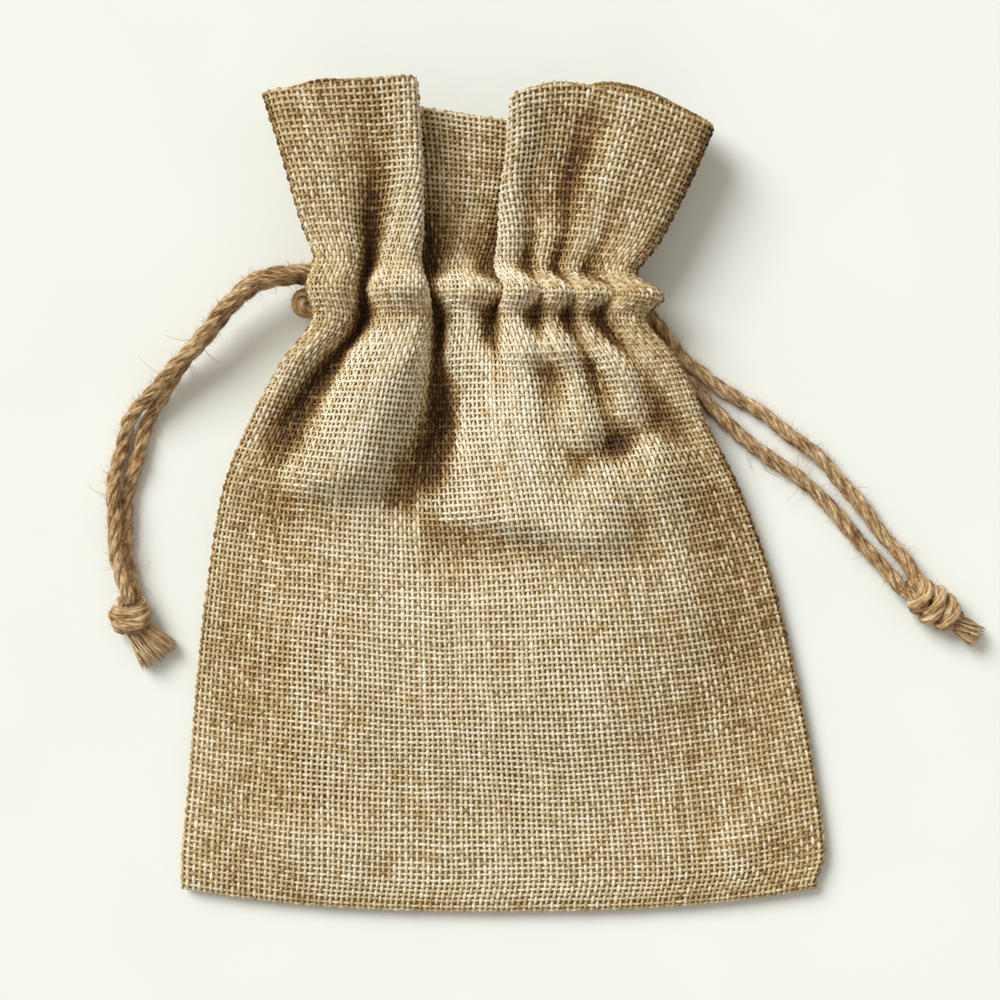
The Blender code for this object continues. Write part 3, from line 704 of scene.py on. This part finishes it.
# A row for each fold that runs up the cloth. at_*: distance of its middle from the
# left seam, along the cloth, at four cross-sections; width: how far its turn takes,
# along the cloth; reach: how far its flanks go on; then how steep the cloth stands at
# each cross-section.
# A crease dips and comes back; a drop leads to a lower level, and a rise leads up.
Fold = namedtuple(
    "Fold",
    "kind at_rim at_flare at_casing at_body width reach "
    "rim flare flare_foot casing_top casing casing_foot gather shoulder upper_body",
)
FRONT_FOLDS = {
    "left lobe": Fold("crease", 22, 24, 22, 12, 1.9, 10, 4, 26, 50, 74, 80, 76, 58, 36, 0),
    "left flare edge": Fold("drop", 38.2, 38.5, 50, 56, 5.4, 0, 172, 170, 120, 76, 44, 20, 6, 0, 0),
    "left panel": Fold("crease", 39, 38.5, 50, 56, 1.9, 10, 0, 0, 18, 62, 80, 86, 80, 62, 24),
    "right flare edge": Fold("rise", 82, 81, 74, 73, 5.4, 0, 172, 170, 120, 76, 44, 20, 6, 0, 0),
    "right panel": Fold("crease", 82, 81, 74, 73, 1.9, 8, 0, 0, 18, 62, 78, 78, 48, 24, 4),
    "puff a": Fold("crease", 95, 93, 90.5, 88, 2.0, 6, 10, 44, 54, 74, 78, 72, 40, 22, 2),
    "puff b": Fold("crease", 103, 102, 101, 103, 2.0, 6, 14, 30, 54, 74, 78, 78, 66, 54, 20),
    "right lobe": Fold("crease", 113, 113, 111.5, 119, 2.4, 7, 0, 4, 22, 48, 62, 66, 54, 40, 8),
}
BACK_FOLDS = {
    "back one": Fold("crease", 18, 18, 18, 18, 1.9, 6, 0, 4, 14, 32, 38, 34, 18, 6, 0),
    "back two": Fold("crease", 34, 34, 34, 34, 1.9, 6, 0, 6, 20, 48, 54, 50, 28, 8, 0),
    "back three": Fold("crease", 62, 62, 62, 62, 1.9, 6, 0, 4, 12, 34, 38, 34, 18, 6, 0),
    "back four": Fold("crease", 98, 98, 98, 98, 1.9, 6, 0, 6, 12, 32, 36, 32, 18, 6, 0),
    "back five": Fold("crease", 110, 110, 110, 110, 1.9, 6, 0, 4, 14, 32, 38, 34, 18, 6, 0),
}
FOLD_STATIONS = (
    "upper body",
    "shoulder",
    "gather",
    "casing foot",
    "casing",
    "casing top",
    "flare foot",
    "flare",
    "rim",
)

# The rim's line: how far the cloth's edge stands above or below the rim section's y.
# across: distance from the left seam along the cloth.
Rim = namedtuple("Rim", "across front back")
RIM = (
    Rim(0, 3.1, 3.1),
    Rim(18, 4.0, 6.8),
    Rim(32, 4.7, 7.2),
    Rim(44, 1.6, 1.4),
    Rim(58, -0.9, -2.6),
    Rim(72, -2.7, -3.0),
    Rim(84, -0.4, 1.6),
    Rim(90, 2.2, 4.6),
    Rim(98, 3.8, 6.5),
    Rim(112, 1.4, 4.2),
    Rim(121, -1.2, 0.8),
    Rim(130, -3.7, -3.7),
)

# The filled part of the body: a round swelling that is steepest near its edge.
# x, y: its middle; wide, tall: its half sizes; height: how far it stands up.
Swelling = namedtuple("Swelling", "x y wide tall height")
SWELLINGS = {
    "middle": Swelling(0.0, -14.0, 44.0, 40.0, 5.4),
    "right side": Swelling(22.0, -14.0, 22.0, 34.0, 1.4),
}

# Slanting wrinkles of the front cloth. Each runs from (x0, y0) to (x1, y1); left and
# right are how wide its flanks are, seen along that way; a negative height is a trough.
Wrinkle = namedtuple("Wrinkle", "x0 y0 x1 y1 height left right")
WRINKLES = {
    "left ridge": Wrinkle(-23.0, 28.0, -35.0, 4.0, 6.0, 14.0, 7.0),
    "left shadow": Wrinkle(-34.0, 25.0, -47.0, 12.0, -2.6, 4.0, 5.0),
    "left shelf": Wrinkle(-46.0, 4.5, -26.0, 3.5, 4.4, 7.0, 3.6),
    "left ditch": Wrinkle(-8.0, 21.0, -20.0, 1.0, -5.6, 5.0, 8.0),
    "centre ridge": Wrinkle(-1.0, 26.0, -7.0, 0.0, 4.0, 16.0, 5.0),
    "centre shelf": Wrinkle(-10.0, -2.0, 18.0, -7.0, 4.4, 12.0, 3.8),
    "low puffs": Wrinkle(2.0, 31.0, 16.0, 30.0, 3.0, 5.0, 3.6),
    "hollow": Wrinkle(5.0, 23.0, 16.0, 23.0, -2.4, 4.0, 7.0),
    "right puff": Wrinkle(22.0, 27.0, 33.0, 20.0, 3.6, 6.0, 4.0),
    "right band": Wrinkle(15.0, 7.0, 37.0, 17.0, -4.4, 4.0, 3.6),
    "right sling": Wrinkle(20.0, -2.0, 40.0, 10.0, 2.2, 6.0, 8.0),
    "left sling": Wrinkle(-50.0, -14.0, -34.0, -50.0, 1.2, 10.0, 10.0),
    "low left": Wrinkle(-56.0, -64.0, -30.0, -72.0, 1.4, 6.0, 6.0),
    "low right": Wrinkle(46.0, -72.0, 57.0, -58.0, 1.8, 5.0, 5.0),
}
# Finer hollows and swells of the front, on top of its wrinkles
DENTS = {
    "slack middle": Wrinkle(7.0, 22.0, 12.0, -2.0, -2.4, 6.0, 8.0),
    "shallow band": Wrinkle(18.0, 10.5, 37.0, 17.5, 1.7, 4.0, 4.0),
    "right flare": Wrinkle(17.5, 71.0, 10.5, 56.0, -2.2, 3.5, 4.5),
    "left flare": Wrinkle(-26.3, 64.0, -25.8, 52.0, -1.2, 3.0, 3.5),
}


def smooth_through(stations, values, at):
    """A curve through the values that makes no waves of its own between them."""
    stations = np.asarray(stations, float)
    values = np.asarray(values, float)
    slopes = np.diff(values) / np.diff(stations)
    tangents = np.zeros_like(values)
    tangents[0], tangents[-1] = slopes[0], slopes[-1]
    for i in range(1, len(values) - 1):
        before, after = slopes[i - 1], slopes[i]
        if before * after > 0:
            tangents[i] = 2 * before * after / (before + after)
    at = np.clip(at, stations[0], stations[-1])
    i = np.clip(np.searchsorted(stations, at) - 1, 0, len(stations) - 2)
    span = stations[i + 1] - stations[i]
    t = (at - stations[i]) / span
    return (
        (2 * t**3 - 3 * t**2 + 1) * values[i]
        + (t**3 - 2 * t**2 + t) * span * tangents[i]
        + (3 * t**2 - 2 * t**3) * values[i + 1]
        + (t**3 - t**2) * span * tangents[i + 1]
    )


def section_at(along):
    """The cross-section at this distance up the cloth."""
    rows = list(SECTIONS.values())
    alongs = [row.along for row in rows]
    return Section(*(
        smooth_through(alongs, [getattr(row, field) for row in rows], along)
        for field in Section._fields
    ))


def fold_at(fold, along):
    """The fold's middle and its steepness in radians, at this distance up the cloth."""
    stations = [SECTIONS[name].along for name in FOLD_STATIONS]
    places = [SECTIONS[name].along for name in ("shoulder", "casing", "flare", "rim")]
    middles = [fold.at_body, fold.at_casing, fold.at_flare, fold.at_rim]
    middle = smooth_through(places, middles, along)
    steepness = fold[: fold._fields.index("rim") - 1 : -1]
    below = SECTIONS["belly"].along
    degrees = smooth_through([below, *stations], [0.0, *steepness], along)
    return middle, math.radians(degrees)


def slope_along_row(folds, along, turn):
    """The cloth's angle at every step from the left seam to the right one."""
    # Folds are sharpest where the casing is drawn in, and open out away from it.
    foot, top = SECTIONS["casing foot"].along, SECTIONS["casing top"].along
    opening = 1 + max(0.0, foot - along) / 25 + max(0.0, along - top) / 25
    across = np.linspace(0.0, CLOTH_WIDTH, 1301)  # every 0.1 mm
    quarter = math.pi / 2 * turn
    angle = math.pi / 2 * np.clip(1 - across / quarter, 0, 1)
    angle -= math.pi / 2 * np.clip(1 - (CLOTH_WIDTH - across) / quarter, 0, 1)
    for fold in folds.values():
        middle, steep = fold_at(fold, along)
        t = (across - middle) / fold.width
        if fold.kind == "crease":
            flank = (across - middle) / (fold.reach * (0.6 + 0.4 * opening))
            angle += steep * np.tanh(t / opening) * np.exp(-(flank**2))
        else:
            sign = -1 if fold.kind == "drop" else 1
            angle += sign * steep * np.exp(-np.abs(t) ** 2.6)
    return across, angle


def ridge_height(ridges, x, y):
    """How far a table of ridges and troughs lifts the cloth at these places."""
    height = np.zeros_like(x)
    for w in ridges.values():
        length = math.hypot(w.x1 - w.x0, w.y1 - w.y0)
        ux, uy = (w.x1 - w.x0) / length, (w.y1 - w.y0) / length
        ahead = ((x - w.x0) * ux + (y - w.y0) * uy) / length
        aside = (y - w.y0) * ux - (x - w.x0) * uy
        flank = np.where(aside > 0, w.left, w.right)
        beyond = np.maximum(0, np.abs(ahead - 0.5) - 0.5) * length
        ends = np.exp(-((beyond / (0.35 * (w.left + w.right))) ** 2))
        fade = 0.6 + 0.4 * np.cos(math.pi * np.clip(ahead - 0.5, -0.5, 0.5))
        height += w.height * fade * ends * np.exp(-((aside / flank) ** 2))
    return height


def wrinkle_height(x, y):
    """How far the wrinkles and the swellings lift the front cloth at these places."""
    height = ridge_height(WRINKLES, x, y)
    for w in SWELLINGS.values():
        reach = ((x - w.x) / w.wide) ** 2 + ((y - w.y) / w.tall) ** 2
        height += w.height * np.exp(-(reach**2))
    return height


def cloth_row(along, across, is_front):
    """Points of the cloth's middle surface, at these distances from the left seam."""
    s = section_at(along)
    folds = FRONT_FOLDS if is_front else BACK_FOLDS
    steps, angle = slope_along_row(folds, along, s.turn)
    step = steps[1] - steps[0]
    run = np.cos(angle)
    rise = np.sin(angle)
    x = np.concatenate([[0.0], np.cumsum((run[1:] + run[:-1]) / 2 * step)])
    z = np.concatenate([[0.0], np.cumsum((rise[1:] + rise[:-1]) / 2 * step)])
    x = s.left + x * (s.right - s.left) / x[-1]
    z -= z[-1] * steps / CLOTH_WIDTH
    x, z = np.interp(across, steps, x), np.interp(across, steps, z)
    place = (2 * x - s.left - s.right) / (s.right - s.left)
    bulge = 1 - np.abs(np.clip(place, -1, 1)) ** 2.3
    hang = s.sag * (1 - np.abs(np.clip(place, -1, 1)) ** 2.5)
    rim_line = [row.front if is_front else row.back for row in RIM]
    lift = smooth_through([row.across for row in RIM], rim_line, across)
    start, top = SECTIONS["casing top"].along, SECTIONS["rim"].along
    y = s.y - hang - s.slant * (place + 1) / 2
    y += lift * max(0.0, (along - start) / (top - start))
    if is_front:
        z = s.edge + z + (s.crown - s.edge - s.turn) * bulge
        inside = np.clip(3 * (1 - np.abs(place)), 0, 1)
        foot = SECTIONS["casing foot"].along
        z = z + wrinkle_height(x, y) * inside * np.clip((foot - along) / 7, 0, 1)
    else:
        z = s.edge - z - (s.edge - s.turn - s.belly) * bulge
    return np.stack([x, y, z], axis=1)


# A grid over half the cloth: distances up it, places, normals, and how deep in a crease,
# which sets the painted shade there
Wall = namedtuple("Wall", "ups points normals hollows")


def unit(vectors):
    """The vectors, each made one long."""
    return vectors / np.linalg.norm(vectors, axis=-1, keepdims=True)


def smoothed(grid, spread, axis):
    """The grid blurred along one axis; spread is in grid steps."""
    weights = np.exp(-0.5 * (np.arange(-3 * spread, 3 * spread + 1) / spread) ** 2)
    weights /= weights.sum()
    return np.apply_along_axis(
        lambda line: np.convolve(np.pad(line, 3 * spread, mode="edge"), weights, "valid"),
        axis, grid)


def cloth_half(is_front):
    """Half of the cloth's middle surface, on a grid from the bottom fold to the hem's edge."""
    across = np.linspace(0.0, CLOTH_WIDTH, 261)  # every 0.5 mm
    ups = np.linspace(0.0, MOUTH, 276)  # every 0.6 mm
    points = np.array([cloth_row(up, across, is_front) for up in ups])
    if is_front:
        points[..., 2] += ridge_height(DENTS, points[..., 0], points[..., 1])
    upward = np.gradient(points, axis=0)
    normals = np.cross(np.gradient(points, axis=1), upward) * (1 if is_front else -1)
    for end, side in ((0, -1), (-1, 1)):
        normals[:, end] = upward[:, end][:, [1, 0, 2]] * (side, -side, 0)
    normals, upward = unit(normals), unit(upward)
    # A place is in a hollow where the cloth round it stands higher, near by or farther off.
    # How deep it lies in one sets how much shade is painted on it.
    height = points[..., 2] * (1 if is_front else -1)
    near, wide = (smoothed(smoothed(height, spread, 1), 5, 0) - height for spread in (9, 26))
    hollow = np.clip(near / 1.5, -0.2, 0.9) + 0.45 * np.clip(wide / 3.5, 0, 1)
    other = cloth_row(0.0, across, not is_front)
    rows, outs, places = [], [], []
    fold_turns = np.radians((90, 75, 60, 45, 30, 15))
    for turn in fold_turns:
        middle = (points[0] + other) / 2
        row = middle + (points[0] - middle) * math.cos(turn)
        row[:, 1] = points[0, :, 1] - FOLD_RADIUS * math.sin(turn)
        rows.append(row)
        outs.append(normals[0] * math.cos(turn) + np.array([0, -1, 0]) * math.sin(turn))
        places.append(-FOLD_RADIUS * turn)
    rows.extend(points)
    outs.extend(normals)
    places.extend(ups)
    for turn in np.radians((30, 60, 90, 120, 150)):
        rows.append(points[-1] + upward[-1] * HEM_RADIUS * math.sin(turn)
                    - normals[-1] * HEM_RADIUS * (1 - math.cos(turn)))
        outs.append(normals[-1] * math.cos(turn) + upward[-1] * math.sin(turn))
        places.append(ups[-1] + HEM_RADIUS * turn)
    hem_top = ups[-1] + HEM_RADIUS * math.pi
    for back in range(1, round(HEM / (ups[1] - ups[0])) + 2):
        rows.append(points[-back] - normals[-back] * 2 * HEM_RADIUS)
        outs.append(-normals[-back])
        places.append(hem_top + ups[-1] - ups[-back])
    before = len(fold_turns)
    after = len(rows) - before - len(ups)
    # Painted shade: the bottom fold's rows take that of the first row, and the hem turned inside a
    # fixed amount.
    hollows = np.concatenate([np.repeat(hollow[:1], before, axis=0), hollow,
                              np.full((after, hollow.shape[1]), 0.5)])
    return Wall(np.array(places), np.array(rows), unit(np.array(outs)), hollows)


def on_wall(wall, across, up):
    """Places, normals and hollows of a wall, at any distances across and up the cloth."""
    i = np.clip(np.searchsorted(wall.ups, up, side="right") - 1, 0, len(wall.ups) - 2)
    s = np.clip((up - wall.ups[i]) / (wall.ups[i + 1] - wall.ups[i]), 0, 1)[..., None]
    columns = np.clip(across / CLOTH_WIDTH, 0, 1) * (wall.points.shape[1] - 1)
    j = np.minimum(columns.astype(int), wall.points.shape[1] - 2)
    t = (columns - j)[..., None]
    place, normal, hollow = (
        (1 - s) * ((1 - t) * grid[i, j] + t * grid[i, j + 1])
        + s * ((1 - t) * grid[i + 1, j] + t * grid[i + 1, j + 1])
        for grid in (wall.points, wall.normals, wall.hollows[..., None]))
    return place, unit(normal), hollow[..., 0]


front_wall, back_wall = cloth_half(True), cloth_half(False)

# Burlap seen between its yarns and from inside: darker jute, with the weave's own pattern
# of crossings, which the raised yarns outside carry on.  Its dark browns are partly painted
# shade, for the shade seen through the gaps and inside the sack.
ground_jute, nodes = new_material("burlap_ground")
flat_map = add_node(nodes, "ShaderNodeAttribute", attribute_name="flat_map")
lattice = add_node(nodes, "ShaderNodeVectorMath", {
    0: flat_map.outputs["Vector"],
    1: (2 * math.pi * WARPS / CLOTH_WIDTH, 2 * math.pi / WEFT_PITCH, 0.0)},
    operation="MULTIPLY")
split = add_node(nodes, "ShaderNodeSeparateXYZ", {0: lattice.outputs[0]})
ribs = [maths(nodes, "COSINE", split.outputs[axis]) for axis in ("X", "Y")]
weave_height = maths(nodes, "MAXIMUM", *ribs)
# Painted light: the weave's raised ribs are paler, over patches of the jute's own tone.
lit = maths(nodes, "MULTIPLY_ADD", weave_height, 0.3, patchy(nodes, 700.0, 2.0))
# Painted shade: darker in the creases, and all over the inside.
hollow = add_node(nodes, "ShaderNodeAttribute", attribute_name="hollow")
tone = maths(nodes, "MULTIPLY_ADD", hollow.outputs["Fac"], -0.45, lit)
finish_material(nodes, ramp(nodes, tone, (0.0, "#3C2106"), (0.3, "#6E4917"),
                            (0.6, "#A07B42"), (0.95, "#CDAD70")),
                weave_height, 0.0002, Roughness=0.9, Sheen_Weight=0.1)


def ground_sheet(name, depth, rows, columns):
    """The cloth's ground, just under its yarns: out to the mouth, round it and back inside."""
    # Its rows are closest at the bottom fold and where the cloth gathers.
    flat = np.interp(np.linspace(0, 1, rows), [0, 0.05, 0.27, 1],
                     [front_wall.ups[0], 6.0, 0.35 * MOUTH, MOUTH])
    turned = MOUTH + HEM_RADIUS * np.pi * np.arange(1, 5) / 5
    across = np.linspace(0.0, CLOTH_WIDTH, columns)
    grid_across, grid_up = np.meshgrid(across, np.concatenate([flat, turned, flat[::-1]]))
    inside = np.arange(len(grid_up)) >= len(flat) + len(turned)
    # The turn at the mouth sets the inner sheet back by twice its own radius.
    depths = np.where(inside, depth - 2 * (HEM_RADIUS + depth), depth)[:, None, None]
    points, maps, faces, creases = [], [], [], []
    for half, wall in enumerate((front_wall, back_wall)):
        place, normal, hollow = on_wall(wall, grid_across, grid_up)
        # Painted shade: how deep each place is in a crease, and a fixed amount all over the inside.
        creases.append(np.where(inside[:, None], 0.4, hollow).ravel())
        points.append(in_metres(place + normal * depths).reshape(-1, 3))
        side = np.repeat(inside[:, None] + 2.0 * half, columns, axis=1)
        maps.append(np.stack([grid_across, grid_up, side], axis=-1).reshape(-1, 3))
        corner = (np.arange(len(grid_up) - 1)[:, None] * columns + np.arange(columns - 1)).ravel()
        corner = corner + half * grid_up.size
        quad = np.stack([corner, corner + 1, corner + columns + 1, corner + columns], axis=1)
        faces.append(quad[:, ::-1] if half else quad)
    points, maps, faces = (np.concatenate(part) for part in (points, maps, faces))
    mesh = bpy.data.meshes.new(name)
    mesh.from_pydata(points, [], faces)
    mesh.attributes.new("flat_map", "FLOAT_VECTOR", "POINT").data.foreach_set(
        "vector", maps.astype(np.float32).ravel())
    mesh.attributes.new("hollow", "FLOAT", "POINT").data.foreach_set(
        "value", np.concatenate(creases).astype(np.float32))
    # Its bake map sets the front, its inside, the back and its inside side by side.
    bake = mesh.uv_layers.new(name="OFBake")
    spots = maps[faces.ravel()]
    spots = np.stack([(spots[:, 0] / CLOTH_WIDTH * 0.96 + 0.02 + spots[:, 2]) / 4,
                      (spots[:, 1] + 3) / 170], axis=1)
    bake.data.foreach_set("uv", spots.astype(np.float32).ravel())
    build = bmesh.new()
    build.from_mesh(mesh)
    bmesh.ops.remove_doubles(build, verts=build.verts, dist=WELD)
    build.to_mesh(mesh)
    build.free()
    mesh.shade_smooth()
    mesh.materials.append(ground_jute)
    return in_scene(name, mesh)


ground = ground_sheet("burlap_ground", GROUND_DEPTH, rows=93, columns=118)
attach(ground, "root")
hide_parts("bag_cloth")

# ---------------------------------------------------------------- the weave
# Plain weave, each yarn over one and under the next.  The upright yarns are thicker and
# paler than the cross yarns, and every yarn is spun unevenly, so they wander and vary.

YARN_LIFT = 0.17  # of a yarn's middle line out of the cloth's middle surface
CRIMP = 0.13  # how far it rises over a yarn and dips under the next
UPRIGHT_GIRTH = 0.41  # half the width of an upright yarn
CROSS_GIRTH = 0.35  # half that of a cross yarn
YARN_FLATNESS = 0.62  # its thickness as a share of its width

# Undyed jute yarn, softly spun: straw to brown, matt, with fibres that slant along it.
# Its darkest browns are painted shade, which the yarns' shade reaches in the creases.
yarn_jute, nodes = new_material("burlap_yarn")
shade = add_node(nodes, "ShaderNodeAttribute", attribute_name="shade")
lie_map = add_node(nodes, "ShaderNodeUVMap", uv_map="OFBake")
fibres = fibrous(nodes, lie_map.outputs["UV"], (700.0, 260.0, 1.0), 2.0, 0.6)
streaks = maths(nodes, "MULTIPLY_ADD", fibres, 0.5, shade.outputs["Fac"])
tone = maths(nodes, "MULTIPLY_ADD", patchy(nodes, 90.0, 3.0), 0.12, streaks)
finish_material(nodes, ramp(nodes, tone, (0.0, "#4A2C0A"), (0.2, "#7C5621"), (0.4, "#AC8A54"),
                            (0.58, "#D2B988"), (0.74, "#EBDAB6"), (0.95, "#F9EFD8")),
                fibres, 0.00008, Roughness=0.85, Sheen_Weight=0.12)


def drift(seed, across, up, size):
    """Smooth noise from -1 to 1 over places in millimetres, in waves of this size."""
    table = np.random.default_rng(seed).uniform(-1, 1, (256, 256))
    x, y = across / size + 3.0, up / size + 9.0
    i, j = np.floor(x).astype(int), np.floor(y).astype(int)
    s, t = x - i, y - j
    s, t = s * s * (3 - 2 * s), t * t * (3 - 2 * t)
    i, j, after, over = i % 256, j % 256, (i + 1) % 256, (j + 1) % 256
    return ((1 - s) * ((1 - t) * table[i, j] + t * table[i, over])
            + s * ((1 - t) * table[after, j] + t * table[after, over]))


def crossings(wall, seed):
    """Where each upright yarn meets each cross yarn, as distances across and up."""
    random = np.random.default_rng(seed)
    low, high = wall.ups[0], wall.ups[-1]
    wefts = round((high - low) / WEFT_PITCH)
    across = (np.arange(WARPS) + 0.5) * CLOTH_WIDTH / WARPS + random.normal(0, 0.07, WARPS)
    up = low + (np.arange(wefts) + 0.5) * (high - low) / wefts + random.normal(0, 0.06, wefts)
    across, up = np.meshgrid(across, up, indexing="ij")
    inside = np.clip(np.minimum(across, CLOTH_WIDTH - across) / 6, 0, 1)
    below = np.clip(np.minimum(up - low, high - up) / 6, 0, 1)
    sway = 0.55 * drift(seed + 1, across, up, 23) + 0.22 * drift(seed + 2, across, up, 7)
    sag = 0.75 * drift(seed + 3, across, up, 27) + 0.20 * drift(seed + 4, across, up, 6)
    return across + sway * inside, up + sag * below


def woven(name, wall, seed, upright, part, parts, per_crossing):
    """One part of the upright or the cross yarns of a wall, as a single mesh."""
    across, up = crossings(wall, seed)
    over = np.where(np.indices(across.shape).sum(axis=0) % 2 == 0, 1.0, -1.0)
    if not upright:
        across, up, over = across.T, up.T, -over.T
    pitch = WEFT_PITCH if upright else CLOTH_WIDTH / WARPS
    first, last = len(across) * part // parts, len(across) * (part + 1) // parts
    random = np.random.default_rng(seed + (5 if upright else 6))
    yarn_shade = random.normal(0.30, 0.04, len(across))
    yarn_girth = random.normal(1.0, 0.05, len(across))
    blotch = random.normal(0, 0.08, across.shape)
    steps = np.array([-0.25, 0.25] if per_crossing == 2 else [0.0]) * pitch
    lines, lies, girths, shades = [], [], [], []
    for k in range(first, last):
        x, y = (np.repeat(rows[k], len(steps)) for rows in (across, up))
        lift = YARN_LIFT + CRIMP * np.repeat(over[k], len(steps))
        shift = np.tile(steps, len(across[k]))
        if upright:
            y = y + shift
            y = np.concatenate([[wall.ups[0]], y, [wall.ups[-1]]])
            x = x[[0, *range(len(x)), -1]]
        else:
            x = x + shift
            x = np.concatenate([[0.0], x, [CLOTH_WIDTH]])
            y = y[[0, *range(len(y)), -1]]
        lift = np.concatenate([[0.0], lift, [0.0]])
        place, normal, hollow = on_wall(wall, x, y)
        # Slubs are short thick places; between them a yarn is uneven too.
        slub = np.clip(drift(seed + 7 + upright, np.full_like(x, 11.0 * k), x + y, 5) - 0.55, 0, 1)
        uneven = 1 + 0.16 * drift(seed + 9 + upright, np.full_like(x, 7.0 * k), x + y, 3)
        swell = 1 + 0.16 * np.concatenate([[0.0], np.repeat(over[k], len(steps)), [0.0]])
        girth = UPRIGHT_GIRTH if upright else CROSS_GIRTH
        girth = girth * yarn_girth[k] * (uneven + slub) * swell * MM
        girth[[0, -1]] = 0.001 * MM
        lines.append(in_metres(place + normal * lift[:, None]))
        lies.append(normal)
        girths.append(girth)
        mottle = np.repeat(blotch[k], len(steps))
        # Painted shade: darker in the creases, towards the seams, a little to the right and above
        # the neck.  The mottle and the drift are the yarns' own uneven tone.
        shades.append(yarn_shade[k] + (0.15 if upright else 0.10) - 0.40 * hollow
                      - 0.20 * np.abs(x / CLOTH_WIDTH * 2 - 1) ** 2
                      - 0.05 * (x / CLOTH_WIDTH - 0.5)
                      - 0.07 * np.clip((y - SECTIONS["gather"].along) / 8, 0, 1)
                      + mottle[[0, *range(len(mottle)), -1]]
                      + 0.10 * drift(seed + 11, np.full_like(x, 5.0 * k), x + y, 2.5))
    piece = swept_threads(name, lines, lies, girths, shades, YARN_FLATNESS, yarn_jute)
    return piece


weave = [
    woven("front_upright_left", front_wall, 100, True, part=0, parts=2, per_crossing=2),
    woven("front_upright_right", front_wall, 100, True, part=1, parts=2, per_crossing=2),
    woven("front_cross_lower", front_wall, 100, False, part=0, parts=2, per_crossing=2),
    woven("front_cross_upper", front_wall, 100, False, part=1, parts=2, per_crossing=2),
    woven("back_upright", back_wall, 200, True, part=0, parts=1, per_crossing=1),
    woven("back_cross", back_wall, 200, False, part=0, parts=1, per_crossing=1),
]

# ---------------------------------------------------------------- floor and light
# A pale table under a large soft light from the upper left, with an even pale fill.

# Matt off-white table top.
table_white, nodes = new_material("table_white")
grain = patchy(nodes, 30.0, 1.0)
finish_material(nodes, ramp(nodes, grain, (0.3, "#EFF1EB"), (0.7, "#F2F4EE")),
                grain, 0.00001, Roughness=0.7)

floor_mesh = bpy.data.meshes.new("table_top")
floor_mesh.from_pydata([(-1, -1, 0), (1, -1, 0), (1, 1, 0), (-1, 1, 0)], [], [(0, 1, 2, 3)])
floor_mesh.materials.append(table_white)
floor = in_scene("table_top", floor_mesh)

key = in_scene("window_light", bpy.data.lights.new("window_light", "SUN"))
key.data.energy = 2.9
key.data.angle = math.radians(34)
key.data.color = (0.96, 1.0, 1.0)
key.rotation_euler = Vector((1.0, -1.0, -1.25)).to_track_quat("-Z", "Y").to_euler()

world = bpy.data.worlds.new("room")
world.use_nodes = True
world.node_tree.nodes["Background"].inputs["Color"].default_value = (1.0, 0.94, 0.87, 1.0)
world.node_tree.nodes["Background"].inputs["Strength"].default_value = 0.46
bpy.context.scene.world = world
bpy.context.scene.view_settings.view_transform = "Standard"
